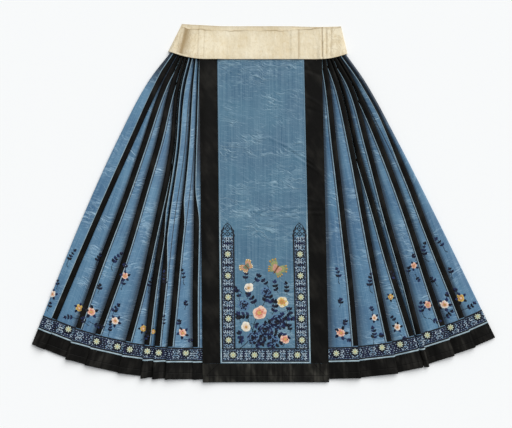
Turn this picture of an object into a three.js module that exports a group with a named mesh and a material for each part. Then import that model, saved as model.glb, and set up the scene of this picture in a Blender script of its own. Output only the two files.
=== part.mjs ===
// A pleated wrap skirt of blue silk with black satin bands, laid flat with its front up.
// Millimetres. X runs to the right of the front, Y from hem to waist, Z up from the surface.
import * as THREE from "three";

// Cloth
const SILK = 1.2; // silk wall
const TRIM = 0.9; // satin, ribbon and piping laid on the silk
const COTTON = 1.8; // waistband wall
const COTTON_BACK = 1.2; // its back, pressed flat
const SEAM = 0.3; // gap between sewn or resting pieces
const LIE = SILK + SEAM; // height of one layer of silk on another

// Heights of the two sides of the skirt
const FRONT_Z = 4.5; // the front's lowest layer, over the folds of the back
const NOSE_WAIST = 6; // height of a pleat's fold over that layer, at the waist
const NOSE_HEM = 9; // and at the hem
const EDGE_HEIGHT = 4; // height of the round side edges over that layer
const PANEL_RISE = 4.5; // the panel's left edge climbs over the first left pleat

// Waistband
const BAND_LOW = 381.5; // its lower edge at the centre
const TUCK = 6; // how far the pleats run up inside it
const BAND_LAP_X = 93; // free end of the front's lap
const BAND_LAP = 18; // width of the lap

// Front panel
const PANEL_TOP = 388;
const PANEL_LOW = -476;
const PANEL_LEFT = { top: -170, low: -161 };
const PANEL_RIGHT = { top: 154.5, low: 174 };
const BORDER = 47; // black border at the sides
const BORDER_HEM = 50; // black border at the hem
const PIPING = 4;
const RIBBON = 36;
const RIBBON_TOP = -90; // where the pointed ends begin
const RIBBON_POINT = 40; // height of the pointed ends
const LIFTED = 8; // width of the level stretch along the raised left edge
const UNDER_LAP = 25; // how far the first right pleat starts inside the panel
const UNDER_LEFT = 125; // where the first left pleat starts, left of the centre line

// Bands on the pleats, as shares of the way from waist to hem
const RIBBON_FROM = 0.902;
const PIPING_FROM = 0.9435;
const BAND_FROM = 0.948;
const SHARE_GAP = 0.0004; // a seam's gap as such a share
const STRIP = 13; // black strip along each fold
const STRIP_CLEAR = 3.2; // least distance of a strip from the fold before it
const EDGE_LIP = 2; // how far a side edge turns in underneath

// Each line runs down one fold: its distance from the centre line at these shares of the length.
const SHARES = [0, 0.1, 0.3, 0.6, 1];
const RIGHT_LINES = [
  { name: "panel", waist: 154.5, hip: 157, upper: 161, lower: 167, hem: 174 },
  { name: "fold_1", waist: 164.5, hip: 178, upper: 197, lower: 226, hem: 259 },
  { name: "fold_2", waist: 173, hip: 204, upper: 240, lower: 288, hem: 357 },
  { name: "fold_3", waist: 181.5, hip: 213, upper: 253, lower: 324, hem: 424 },
  { name: "fold_4", waist: 190, hip: 236, upper: 284, lower: 350, hem: 440 },
  { name: "fold_5", waist: 198, hip: 246, upper: 316, lower: 402, hem: 507 },
  { name: "fold_6", waist: 205.5, hip: 260, upper: 343, lower: 440, hem: 563 },
  { name: "edge", waist: 215.5, hip: 269, upper: 352, lower: 467, hem: 615 },
];
const LEFT_LINES = [
  { name: "start", waist: 125, hip: 125, upper: 125, lower: 125, hem: 125 },
  { name: "fold_1", waist: 173, hip: 176, upper: 182, lower: 185, hem: 188 },
  { name: "fold_2", waist: 182, hip: 191, upper: 201, lower: 230, hem: 262 },
  { name: "fold_3", waist: 191, hip: 211, upper: 227, lower: 263, hem: 296 },
  { name: "fold_4", waist: 199.5, hip: 221, upper: 237, lower: 281, hem: 327 },
  { name: "fold_5", waist: 208, hip: 232, upper: 250, lower: 302, hem: 387 },
  { name: "fold_6", waist: 216, hip: 247, upper: 287, lower: 360, hem: 475 },
  { name: "fold_7", waist: 223.5, hip: 267, upper: 323, lower: 411, hem: 526 },
  { name: "turned", waist: 228, hip: 271, upper: 343, lower: 448, hem: 581 },
  { name: "edge", waist: 243, hip: 303, upper: 386, lower: 491, hem: 615 },
];

// The hem of the pleats, which rises towards both sides.
const RIGHT_HEM = [
  { x: 0, y: -465.5 },
  { x: 235, y: -465.5 },
  { x: 331, y: -455 },
  { x: 395, y: -442 },
  { x: 459, y: -420 },
  { x: 523, y: -396 },
  { x: 587, y: -370 },
  { x: 615, y: -357 },
];
const LEFT_HEM = [
  { x: 0, y: -465.5 },
  { x: 275, y: -465.5 },
  { x: 355, y: -455 },
  { x: 419, y: -444 },
  { x: 483, y: -426 },
  { x: 547, y: -402 },
  { x: 615, y: -375 },
];

const BACK_FOLDS = 5; // pleats at each side of the back
const BACK_PANEL = { top: 156, low: 168 }; // half width of the back panel
const BACK_LAP = 12; // how far the back pleats start inside that panel
const BACK_FROM = 0.007; // share at which they start, just below the waistband

const silk = new THREE.MeshStandardMaterial({ color: 0x5c85a5, roughness: 0.5 });
const satin = new THREE.MeshStandardMaterial({ color: 0x26221e, roughness: 0.45 });
const cotton = new THREE.MeshStandardMaterial({ color: 0xe8dab4, roughness: 0.9 });
const ribbonSilk = new THREE.MeshStandardMaterial({ color: 0x24305c, roughness: 0.6 });
const pipingSilk = new THREE.MeshStandardMaterial({ color: 0xaabec8, roughness: 0.55 });

const skirt = new THREE.Group();
skirt.name = "skirt";

// The value at place x in rows of { x, y }, straight between the rows.
function valueAt(rows, x) {
  const last = rows.length - 2;
  let i = 0;
  while (i < last && rows[i + 1].x < x) i += 1;
  const share = (x - rows[i].x) / (rows[i + 1].x - rows[i].x);
  return rows[i].y + THREE.MathUtils.clamp(share, 0, 1) * (rows[i + 1].y - rows[i].y);
}

// How far out a fold line lies at a share of the way down.
function lineAt(line, share) {
  const out = [line.waist, line.hip, line.upper, line.lower, line.hem];
  return valueAt(SHARES.map((x, i) => ({ x, y: out[i] })), share);
}

// The waistband's lower edge, which rises to its two ends.
function bandLow(x) {
  const rise = x < 0 ? 21.5 : 15;
  const run = x < 0 ? 103 : 73;
  const past = Math.max(0, Math.abs(x) - 150) / run;
  return BAND_LOW + rise * past * past;
}

// Y of the cloth at a distance out from the centre line and a share of the way down.
function rowY(side, out, share) {
  const lines = side.lines;
  const rows = lines.map((line) => {
    const top = bandLow(side.sign * line.waist) + TUCK;
    const low = valueAt(side.hem, line.hem);
    return { x: lineAt(line, share), y: top + share * (low - top) };
  });
  return valueAt(rows, out);
}

// Moves each point of a section { u, z } to its left by a distance, with mitred corners.
function moved(section, distance) {
  return section.map((p, i) => {
    const before = section[Math.max(0, i - 1)];
    const after = section[Math.min(section.length - 1, i + 1)];
    const normals = [];
    if (before !== p) normals.push(new THREE.Vector2(before.z - p.z, p.u - before.u).normalize());
    if (after !== p) normals.push(new THREE.Vector2(p.z - after.z, after.u - p.u).normalize());
    const mean = normals.reduce((a, n) => a.add(n), new THREE.Vector2()).normalize();
    const reach = distance / Math.max(0.5, mean.dot(normals[0]));
    return { u: p.u + mean.x * reach, z: p.z + mean.y * reach };
  });
}

// A closed wall between two grids of points of the same size.
function wall(name, upper, lower, material) {
  const rows = upper.length;
  const columns = upper[0].length;
  const points = [...upper.flat(), ...lower.flat()];
  const top = (r, c) => r * columns + c;
  const under = (r, c) => rows * columns + r * columns + c;
  const faces = [];
  const quad = (a, b, c, d) => faces.push(a, b, c, a, c, d);
  for (let r = 0; r < rows - 1; r += 1) {
    for (let c = 0; c < columns - 1; c += 1) {
      quad(top(r, c), top(r + 1, c), top(r + 1, c + 1), top(r, c + 1));
      quad(under(r, c), under(r, c + 1), under(r + 1, c + 1), under(r + 1, c));
    }
    quad(top(r, 0), under(r, 0), under(r + 1, 0), top(r + 1, 0));
    const last = columns - 1;
    quad(top(r, last), top(r + 1, last), under(r + 1, last), under(r, last));
  }
  for (let c = 0; c < columns - 1; c += 1) {
    quad(top(0, c), top(0, c + 1), under(0, c + 1), under(0, c));
    const last = rows - 1;
    quad(top(last, c), under(last, c), under(last, c + 1), top(last, c + 1));
  }
  const geometry = new THREE.BufferGeometry().setFromPoints(points);
  geometry.setIndex(signedVolume(points, faces) < 0 ? faces.reverse() : faces);
  geometry.computeVertexNormals();
  const mesh = new THREE.Mesh(geometry, material);
  mesh.name = name;
  skirt.add(mesh);
}

function signedVolume(points, faces) {
  let six = 0;
  for (let i = 0; i < faces.length; i += 3) {
    const [a, b, c] = [points[faces[i]], points[faces[i + 1]], points[faces[i + 2]]];
    six += a.dot(new THREE.Vector3().crossVectors(b, c));
  }
  return six;
}

// A wall that follows a section down the skirt: the section at each share, moved out to two heights.
function loft(name, side, shares, sectionAt, inner, outer, base, material) {
  const grid = (distance) =>
    shares.map((share) =>
      moved(sectionAt(share), distance).map((p) => {
        const y = rowY(side, p.u, share);
        return new THREE.Vector3(side.sign * p.u, y, base + p.z);
      }),
    );
  wall(name, grid(outer), grid(inner), material);
}

const noseHeight = (share) => NOSE_WAIST + (NOSE_HEM - NOSE_WAIST) * share;
const foldDepth = (width) => Math.min(30, width / 2);

// Points round a fold, from its top to its underside, curving round the outward side.
function roundFold(u, top, under) {
  const r = (top - under) / 2;
  return [0, 60, 120, 180].map((degrees) => {
    const a = THREE.MathUtils.degToRad(degrees);
    return { u: u - r + r * Math.sin(a), z: under + r + r * Math.cos(a) };
  });
}

// The outer face of one gore across the skirt: under the fold before it, up to its own fold, and back.
function goreSection(lines, k, share) {
  const a = lineAt(lines[k - 1], share);
  const b = lineAt(lines[k], share);
  const lapped = k === 1 ? 0 : foldDepth(a - lineAt(lines[k - 2], share));
  const own = lines[k].name;
  const before = lines[k - 1].name;
  if (before === "turned") return turnedSection(a, b, share);
  const height = before === "start" ? PANEL_RISE : noseHeight(share);
  const start = before === "panel" ? UNDER_LAP : lapped;
  const section = [{ u: a - start, z: SILK }];
  if (start > 0) section.push({ u: a + 1, z: SILK });
  if (own === "turned") {
    const next = lineAt(lines[k + 1], share);
    section.push({ u: b + foldDepth(next - b), z: SILK });
    return section;
  }
  const edge = own === "edge";
  const top = edge ? EDGE_HEIGHT : height;
  const under = edge ? LIE - FRONT_Z : LIE;
  const fold = roundFold(b, top, under);
  const from = section[section.length - 1].u;
  const run = fold[0].u - from;
  const stripFrom = Math.min(Math.max(b - STRIP, a + STRIP_CLEAR), fold[0].u - 0.6);
  for (const u of [(from + stripFrom) / 2, stripFrom]) {
    section.push({ u, z: SILK + (top - SILK) * Math.sin((((u - from) / run) * Math.PI) / 2) });
  }
  section.push(...fold);
  section.push({ u: edge ? fold[3].u - EDGE_LIP : b - foldDepth(b - a), z: under });
  return section;
}

// The side gore on the left, whose own fold turns inwards.
function turnedSection(a, b, share) {
  const height = noseHeight(share);
  const under = LIE - FRONT_Z;
  const edge = roundFold(b, EDGE_HEIGHT, under);
  const fold = roundFold(0, height, LIE).reverse();
  const section = [{ u: a + foldDepth(b - a), z: LIE }];
  section.push(...fold.map((p) => ({ u: a - p.u, z: p.z })));
  const top = section[section.length - 1].u;
  const stripTo = Math.min(a + STRIP, (top + edge[0].u) / 2);
  section.push({ u: stripTo, z: height });
  section.push(...edge, { u: edge[3].u - EDGE_LIP, z: under });
  return section;
}

// The strip's stretch of a gore's section, from its width inside the fold to round the fold.
function stripSection(lines, k, share) {
  const section = goreSection(lines, k, share);
  if (lines[k - 1].name === "turned") return section.slice(2, 6);
  return section.slice(-6, -2);
}

function pleats(side) {
  const { lines, label } = side;
  const down = [0, 0.1, 0.3, 0.6, RIBBON_FROM - SHARE_GAP];
  for (let k = 1; k < lines.length; k += 1) {
    const section = (share) => goreSection(lines, k, share);
    loft(`gore_${label}_${k}`, side, down, section, -SILK, 0, FRONT_Z, silk);
  }
  const carriers = lines.map((line, k) => k).filter((k) => carriesStrip(lines, k));
  carriers.forEach((k, i) => {
    const strip = (share) => stripSection(lines, k, share);
    loft(`strip_${label}_${i + 1}`, side, down, strip, SEAM, SEAM + TRIM, FRONT_Z, satin);
  });
  const across = (share) => lines.slice(1).flatMap((line, i) => goreSection(lines, i + 1, share));
  const bands = [
    { name: "hem_ribbon", from: RIBBON_FROM, to: PIPING_FROM - SHARE_GAP, material: ribbonSilk },
    { name: "hem_piping", from: PIPING_FROM, to: BAND_FROM - SHARE_GAP, material: pipingSilk },
    { name: "hem_band", from: BAND_FROM, to: 1, material: satin },
  ];
  for (const { name, from, to, material } of bands) {
    loft(`${name}_${label}`, side, [from, to], across, -SILK, 0, FRONT_Z, material);
  }
}

// Every fold has a strip on the gore whose edge it is.
function carriesStrip(lines, k) {
  return lines[k].name.startsWith("fold") || lines[k - 1]?.name === "turned";
}

// The pleats of the back lie with their outer face on the surface.
function backSection(side, share) {
  const half = BACK_PANEL.top + share * (BACK_PANEL.low - BACK_PANEL.top);
  const edge = lineAt(side.lines[side.lines.length - 1], share);
  const pitch = (edge - half) / (BACK_FOLDS + 1);
  const depth = Math.min(25, pitch * 0.37);
  const r = (SILK + LIE) / 2;
  const section = [
    { u: half - BACK_LAP, z: LIE },
    { u: half + 0.5, z: LIE },
    { u: half + 3.5, z: 0 },
  ];
  for (let k = 1; k <= BACK_FOLDS; k += 1) {
    const b = half + k * pitch;
    section.push({ u: b - r, z: 0 }, { u: b, z: r }, { u: b - r, z: 2 * r });
    section.push({ u: b - depth, z: 2 * r }, { u: b - depth, z: 2 * LIE });
    section.push({ u: b + 1, z: 2 * LIE }, { u: b + 3, z: 0 });
  }
  section.push({ u: edge - 0.5, z: 0 });
  return section;
}

function backPleats(side) {
  const section = (share) => backSection(side, share);
  const down = [BACK_FROM, 0.1, 0.3, 0.6, BAND_FROM - SHARE_GAP];
  loft(`back_pleats_${side.label}`, side, down, section, 0, SILK, 0, silk);
  loft(`back_hem_band_${side.label}`, side, [BAND_FROM, 1], section, 0, SILK, 0, satin);
}

// A wall over rows of { x, y } points whose underside lies at a height worked out for each point.
function raised(name, rows, underside, thickness, material) {
  const grid = (lift) =>
    rows.map((row) => row.map(({ x, y }) => new THREE.Vector3(x, y, underside(x, y) + lift)));
  wall(name, grid(thickness), grid(0), material);
}

// A flat or gently sloping piece between a left and a right edge, given at its top and its bottom.
function piece(name, top, low, columns, underside, thickness, material) {
  const rows = [top, low].map(({ left, right, y }) =>
    columns.map((share) => ({ x: left + share * (right - left), y })),
  );
  raised(name, rows, underside, thickness, material);
}

const downPanel = (y) => (PANEL_TOP - y) / (PANEL_TOP - PANEL_LOW);
const panelLeft = (y) => PANEL_LEFT.top + downPanel(y) * (PANEL_LEFT.low - PANEL_LEFT.top);
const panelRight = (y) => PANEL_RIGHT.top + downPanel(y) * (PANEL_RIGHT.low - PANEL_RIGHT.top);

// Underside of the front panel: it comes down from its raised left edge across the black border.
function panelUnder(x, y) {
  const inside = x - panelLeft(y);
  const fall = THREE.MathUtils.clamp((inside - LIFTED) / (BORDER - LIFTED), 0, 1);
  return FRONT_Z + LIE + PANEL_RISE * (1 - fall);
}
const panelOver = (x, y) => panelUnder(x, y) + SILK + SEAM;

const sloped = [0, LIFTED / BORDER, 1];
const level = [0, 1];

function frontPanel() {
  const top = { left: panelLeft(PANEL_TOP), right: panelRight(PANEL_TOP), y: PANEL_TOP };
  const low = { left: panelLeft(PANEL_LOW), right: panelRight(PANEL_LOW), y: PANEL_LOW };
  slopedPiece("front_panel", top, low, panelUnder, SILK, silk);
  const hemTop = PANEL_LOW + BORDER_HEM;
  sideStrip("front_border_left", 0, BORDER, PANEL_TOP, hemTop + SEAM, "left", satin, sloped);
  sideStrip("front_border_right", 0, BORDER, PANEL_TOP, hemTop + SEAM, "right", satin, level);
  hemStrip("front_border_hem", 0, PANEL_LOW, hemTop, satin);
  const pipingTop = hemTop + PIPING;
  const inside = BORDER + SEAM;
  const ribbonIn = inside + PIPING + SEAM;
  for (const label of ["left", "right"]) {
    const name = `front_piping_${label}`;
    sideStrip(name, inside, inside + PIPING, PANEL_TOP, hemTop + SEAM, label, pipingSilk, level);
    pointedRibbon(label, ribbonIn, hemTop + SEAM + PIPING + SEAM + RIBBON + SEAM);
  }
  hemStrip("front_piping_hem", ribbonIn, hemTop + SEAM, pipingTop, pipingSilk);
  const ribbonLow = pipingTop + SEAM;
  const ribbonHigh = ribbonLow + RIBBON;
  hemStrip("front_ribbon_hem", ribbonIn, ribbonLow, ribbonHigh, ribbonSilk);
}

// A piece across the whole panel has points where the panel's slope begins and ends.
function slopedPiece(name, top, low, under, thickness, material) {
  const columns = (row) => [row.left, row.left + LIFTED, row.left + BORDER, row.right];
  const rows = [top, low].map((row) => columns(row).map((x) => ({ x, y: row.y })));
  raised(name, rows, under, thickness, material);
}

function sideStrip(name, from, to, high, lowY, label, material, columns) {
  const row = (y) => {
    if (label === "left") return { left: panelLeft(y) + from, right: panelLeft(y) + to, y };
    return { left: panelRight(y) - to, right: panelRight(y) - from, y };
  };
  piece(name, row(high), row(lowY), columns, panelOver, TRIM, material);
}

function hemStrip(name, inset, lowY, high, material) {
  const row = (y) => ({ left: panelLeft(y) + inset, right: panelRight(y) - inset, y });
  if (inset === 0) slopedPiece(name, row(high), row(lowY), panelOver, TRIM, material);
  else piece(name, row(high), row(lowY), level, panelOver, TRIM, material);
}

// A side ribbon with its pointed upper end, as a row of widths from the ribbon's foot to its point.
function pointedRibbon(label, inset, foot) {
  const outline = [
    { y: foot, half: 1 },
    { y: RIBBON_TOP, half: 1 },
    { y: RIBBON_TOP + RIBBON_POINT * 0.35, half: 0.9 },
    { y: RIBBON_TOP + RIBBON_POINT * 0.7, half: 0.5 },
    { y: RIBBON_TOP + RIBBON_POINT, half: 0.08 },
  ];
  const rows = outline.map(({ y, half }) => {
    const middle = inset + RIBBON / 2;
    const x = label === "left" ? panelLeft(y) + middle : panelRight(y) - middle;
    return [-1, 0, 1].map((s) => ({ x: x + (s * half * RIBBON) / 2, y }));
  });
  raised(`front_ribbon_${label}`, rows, panelOver, TRIM, ribbonSilk);
}

// The hidden panel of the inner half of the skirt, between the first pleats of both sides.
function underPanel() {
  const right = (y) => panelRight(y) - UNDER_LAP - SEAM;
  const low = -465;
  const top = { left: -UNDER_LEFT + SEAM, right: right(PANEL_TOP), y: PANEL_TOP };
  const foot = { left: -UNDER_LEFT + SEAM, right: right(low), y: low };
  piece("under_panel", top, foot, level, () => FRONT_Z, SILK, silk);
}

function backPanel() {
  const top = BAND_LOW - SEAM;
  const low = -465.5;
  const half = (y) => BACK_PANEL.top + ((top - y) / (top - low)) * (BACK_PANEL.low - BACK_PANEL.top);
  const hemTop = low + BORDER_HEM;
  const floor = () => 0;
  const flatPiece = (name, leftAt, rightAt, high, foot, material) => {
    const row = (y) => ({ left: leftAt(y), right: rightAt(y), y });
    piece(name, row(high), row(foot), level, floor, SILK, material);
  };
  const outer = (sign) => (y) => sign * half(y);
  const inner = (sign) => (y) => sign * (half(y) - BORDER);
  const silkEdge = (sign) => (y) => sign * (half(y) - BORDER - SEAM);
  const foot = hemTop + SEAM;
  flatPiece("back_panel", silkEdge(-1), silkEdge(1), top, foot, silk);
  flatPiece("back_border_left", outer(-1), inner(-1), top, foot, satin);
  flatPiece("back_border_right", inner(1), outer(1), top, foot, satin);
  flatPiece("back_border_hem", outer(-1), outer(1), hemTop, low, satin);
}

// Waistband: columns from left to right with the top edges and the height over the pleats.
const BAND = [
  { low: -253, high: -217, front: 468, back: 476, over: COTTON_BACK + SEAM },
  { low: -248, high: -212, front: 467, back: 475.5, over: 9.6 },
  { low: -238, high: -204, front: 464, back: 475, over: 13.2 },
  { low: -118, high: -110, front: 459, back: 470, over: 13.2 },
  { low: -100, high: -95, front: 459, back: 470, over: 8.7 },
  { low: 69, high: 69, front: 459, back: 470, over: 8.7 },
  { low: 75, high: 75, front: 459, back: 470, over: 8.7 },
  { low: 93, high: 93, front: 459, back: 470, over: 8.7 },
  { low: 140, high: 138, front: 465, back: 468, over: 8.7 },
  { low: 152, high: 148, front: 466, back: 468, over: 12.6 },
  { low: 212, high: 197, front: 467, back: 469, over: 12.6 },
  { low: 219, high: 203, front: 467, back: 469.5, over: 9.6 },
  { low: 223, high: 206, front: 467, back: 469.5, over: COTTON_BACK + SEAM },
];

function waistbandFront(name, columns, lift) {
  const down = [
    { share: 0, height: 1 },
    { share: 0.2, height: 1 },
    { share: 0.6, height: 0 },
    { share: 1, height: 0 },
  ];
  const flat = COTTON_BACK + SEAM;
  const grid = (thickness) =>
    down.map(({ share, height }) =>
      columns.map(({ low, high, front, over }) => {
        const foot = bandLow(low);
        const z = flat + (over - flat) * height + lift(low) + thickness;
        return new THREE.Vector3(low + share * (high - low), foot + share * (front - foot), z);
      }),
    );
  wall(name, grid(COTTON), grid(0), cotton);
}

function waistband() {
  const lapped = (x) => (x > BAND_LAP_X - BAND_LAP - 1 ? COTTON + SEAM : 0);
  const left = BAND.filter(({ low }) => low <= BAND_LAP_X);
  const right = BAND.filter(({ low }) => low >= BAND_LAP_X - BAND_LAP);
  waistbandFront("waistband_front_left", left, lapped);
  waistbandFront("waistband_front_right", right, () => 0);
  const rows = [0, 1].map((share) =>
    BAND.map(({ low, high, back }) => {
      const foot = bandLow(low) + SEAM;
      return { x: low + share * (high - low), y: foot + share * (back - foot) };
    }),
  );
  raised("waistband_back", rows, () => 0, COTTON_BACK, cotton);
}

const RIGHT = { label: "right", sign: 1, lines: RIGHT_LINES, hem: RIGHT_HEM };
const LEFT = { label: "left", sign: -1, lines: LEFT_LINES, hem: LEFT_HEM };

for (const side of [RIGHT, LEFT]) {
  pleats(side);
  backPleats(side);
}
frontPanel();
underPanel();
backPanel();
waistband();

export default skirt;
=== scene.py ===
"""A pleated wrap skirt of blue silk, laid flat with its front up: cloth, trims, embroidery, light and camera.
Lengths are in millimetres until a mesh is made. X is to the right of the front, Y from hem to waist, Z up."""

import math

import bmesh
import bpy
import numpy as np
from mathutils import Matrix, Vector
from mathutils.bvhtree import BVHTree


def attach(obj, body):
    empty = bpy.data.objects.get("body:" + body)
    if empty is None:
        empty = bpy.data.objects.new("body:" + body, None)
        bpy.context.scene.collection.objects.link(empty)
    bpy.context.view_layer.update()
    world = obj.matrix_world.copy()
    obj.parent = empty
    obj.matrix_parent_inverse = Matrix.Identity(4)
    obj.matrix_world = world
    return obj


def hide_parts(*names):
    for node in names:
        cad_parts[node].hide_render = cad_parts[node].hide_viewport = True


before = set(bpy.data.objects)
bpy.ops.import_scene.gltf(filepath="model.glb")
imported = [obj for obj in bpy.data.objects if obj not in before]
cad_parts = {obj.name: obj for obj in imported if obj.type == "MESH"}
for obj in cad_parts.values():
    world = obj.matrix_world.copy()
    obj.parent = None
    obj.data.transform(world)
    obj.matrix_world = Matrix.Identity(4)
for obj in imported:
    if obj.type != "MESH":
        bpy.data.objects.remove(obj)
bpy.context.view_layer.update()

MM = 0.001

# Thickness of the cloths, and the air between one and the next
SILK = 1.2
SEAM = 0.3
LIE = SILK + SEAM
COTTON = 1.8
COTTON_BACK = 1.2

# Heights
FRONT_Z = 4.5  # the front's cloth starts here, and the next three are counted from it
NOSE_WAIST = 6.0  # a pleat's fold at the waist
NOSE_HEM = 9.0  # the same at the hem
EDGE_HEIGHT = 4.0  # the outermost fold of a side
PANEL_RISE = 4.5  # how far the first left gore's fold lifts the panel's left edge
EDGE_LIP = 2.0  # how far the outermost fold is turned back

# Waistband
BAND_LOW = 381.5  # its lower edge in the middle
BAND_LEVEL = 150.0  # that edge is level as far out as this
BAND_ENDS = ((21.5, 103.0), (15.0, 73.0))  # from there, its rise and the way to it, left and right
TUCK = 6.0  # how far the gores reach under it
BAND_LAP_X = 93.0  # where its left length ends
BAND_LAP = 18.0  # how far that laps over the right one

# Front panel
PANEL_TOP = 388.0
PANEL_LOW = -476.0
PANEL_LEFT = (-170.0, -161.0)
PANEL_RIGHT = (154.5, 174.0)
BORDER = 47.0
BORDER_HEM = 50.0
PIPING = 4.0
RIBBON = 36.0
RIBBON_TOP = -90.0
RIBBON_POINT = 40.0  # length of a side ribbon's pointed end
LIFTED = 8.0  # the left border lies at its full rise over this width
WRAP = 0.4  # how far a border is wrapped past the silk
UNDER_LAP = 25.0  # how far the first gore on the right lies under the panel
UNDER_LEFT = 125.0  # distance out of the inner panel's left edge

# Bands on the pleats, as shares of the way from waist to hem
RIBBON_FROM = 0.902
PIPING_FROM = 0.9435
BAND_FROM = 0.948
LENGTH = 862.0  # of a fold from waist to hem
STRIP = 13.0  # width of a black strip
STRIP_CLEAR = 0.4  # how far it keeps from the gore's other fold

# Fold lines: name, then the distance from the centre line at these shares of the length, then how far
# the gore's corner drops below its neighbour at the hem.
SHARES = (0.0, 0.1, 0.3, 0.6, 1.0)
RIGHT_LINES = (
    ("panel", (154.5, 157, 161, 167, 174), 0),
    ("fold", (164.5, 178, 197, 226, 259), 1),
    ("fold", (173, 204, 240, 288, 357), 2),
    ("fold", (181.5, 213, 253, 324, 424), 3),
    ("fold", (190, 236, 284, 350, 440), 7),
    ("fold", (198, 246, 316, 402, 507), 3),
    ("fold", (205.5, 260, 343, 440, 563), 2),
    ("edge", (215.5, 269, 352, 467, 615), 0),
)
LEFT_LINES = (
    ("start", (125, 125, 125, 125, 125), 0),
    ("fold", (173, 176, 182, 185, 188), 1),
    ("fold", (182, 191, 201, 230, 262), 2),
    ("fold", (191, 211, 227, 263, 296), 4),
    ("fold", (199.5, 221, 237, 281, 327), 6),
    ("fold", (208, 232, 250, 302, 387), 1),
    ("fold", (216, 247, 287, 360, 475), 1),
    ("fold", (223.5, 267, 323, 411, 526), 4),
    ("turned", (228, 271, 343, 448, 581), 0),
    ("edge", (243, 303, 386, 491, 615), 0),
)
RIGHT_HEM = (
    (0, -465.5),
    (235, -465.5),
    (331, -455),
    (395, -442),
    (459, -420),
    (523, -396),
    (587, -370),
    (615, -357),
)
LEFT_HEM = ((0, -465.5), (275, -465.5), (355, -455), (419, -444), (483, -426), (547, -402), (615, -375))

# Strips that are rolled under their fold near the waist: by side and gore, the shares of the length
# between which they come out.
ROLLED = {
    ("left", 1): (0.4, 0.52),
    ("left", 2): (0.42, 0.54),
    ("left", 3): (0.52, 0.7),
    ("left", 4): (0.45, 0.6),
    ("right", 6): (0.16, 0.42),
}
ROLLED_WIDTH = 2.2  # what shows of such a strip

# Share of the length at which the silk of each gore comes out of the painted shade under the waist, from the
# panel outwards.
OUT_OF_DARK = {
    "right": (0.03, 0.05, 0.06, 0.06, 0.16, 0.14, 0.36),
    "left": (0.5, 0.05, 0.06, 0.27, 0.2, 0.11, 0.06, 0.2, 0.13),
}
DARKEST = 1.15  # how dark the painted shade under the waist is, where 1 is the painted shade beside a fold

SHADE_REACH = 0.2  # the painted shade beside a fold reaches over about this share of the next gore
SHADE_CORE = 5.0  # and a deeper painted shade over about this width

BACK_FOLDS = 5
BACK_PANEL = (156.0, 168.0)  # half its width at the waist and at the hem
BACK_LAP = 12.0  # how far the pleats lie over it
BACK_TURNED = 0.37  # share of a back pleat that is turned under
BACK_DEPTH = 25.0  # and the most of it

# Waistband columns: x at its lower and upper edge, y of the front's and the back's upper edge, height.
BAND = (
    (-253, -217, 468, 476, 1.5),
    (-248, -212, 467, 475.5, 9.6),
    (-238, -204, 464, 475, 13.2),
    (-118, -110, 459, 470, 13.2),
    (-100, -95, 459, 470, 8.7),
    (69, 69, 459, 470, 8.7),
    (140, 138, 465, 468, 8.7),
    (152, 148, 466, 468, 12.6),
    (212, 197, 467, 469, 12.6),
    (219, 203, 467, 469.5, 9.6),
    (223, 206, 467, 469.5, 1.5),
)

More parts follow.
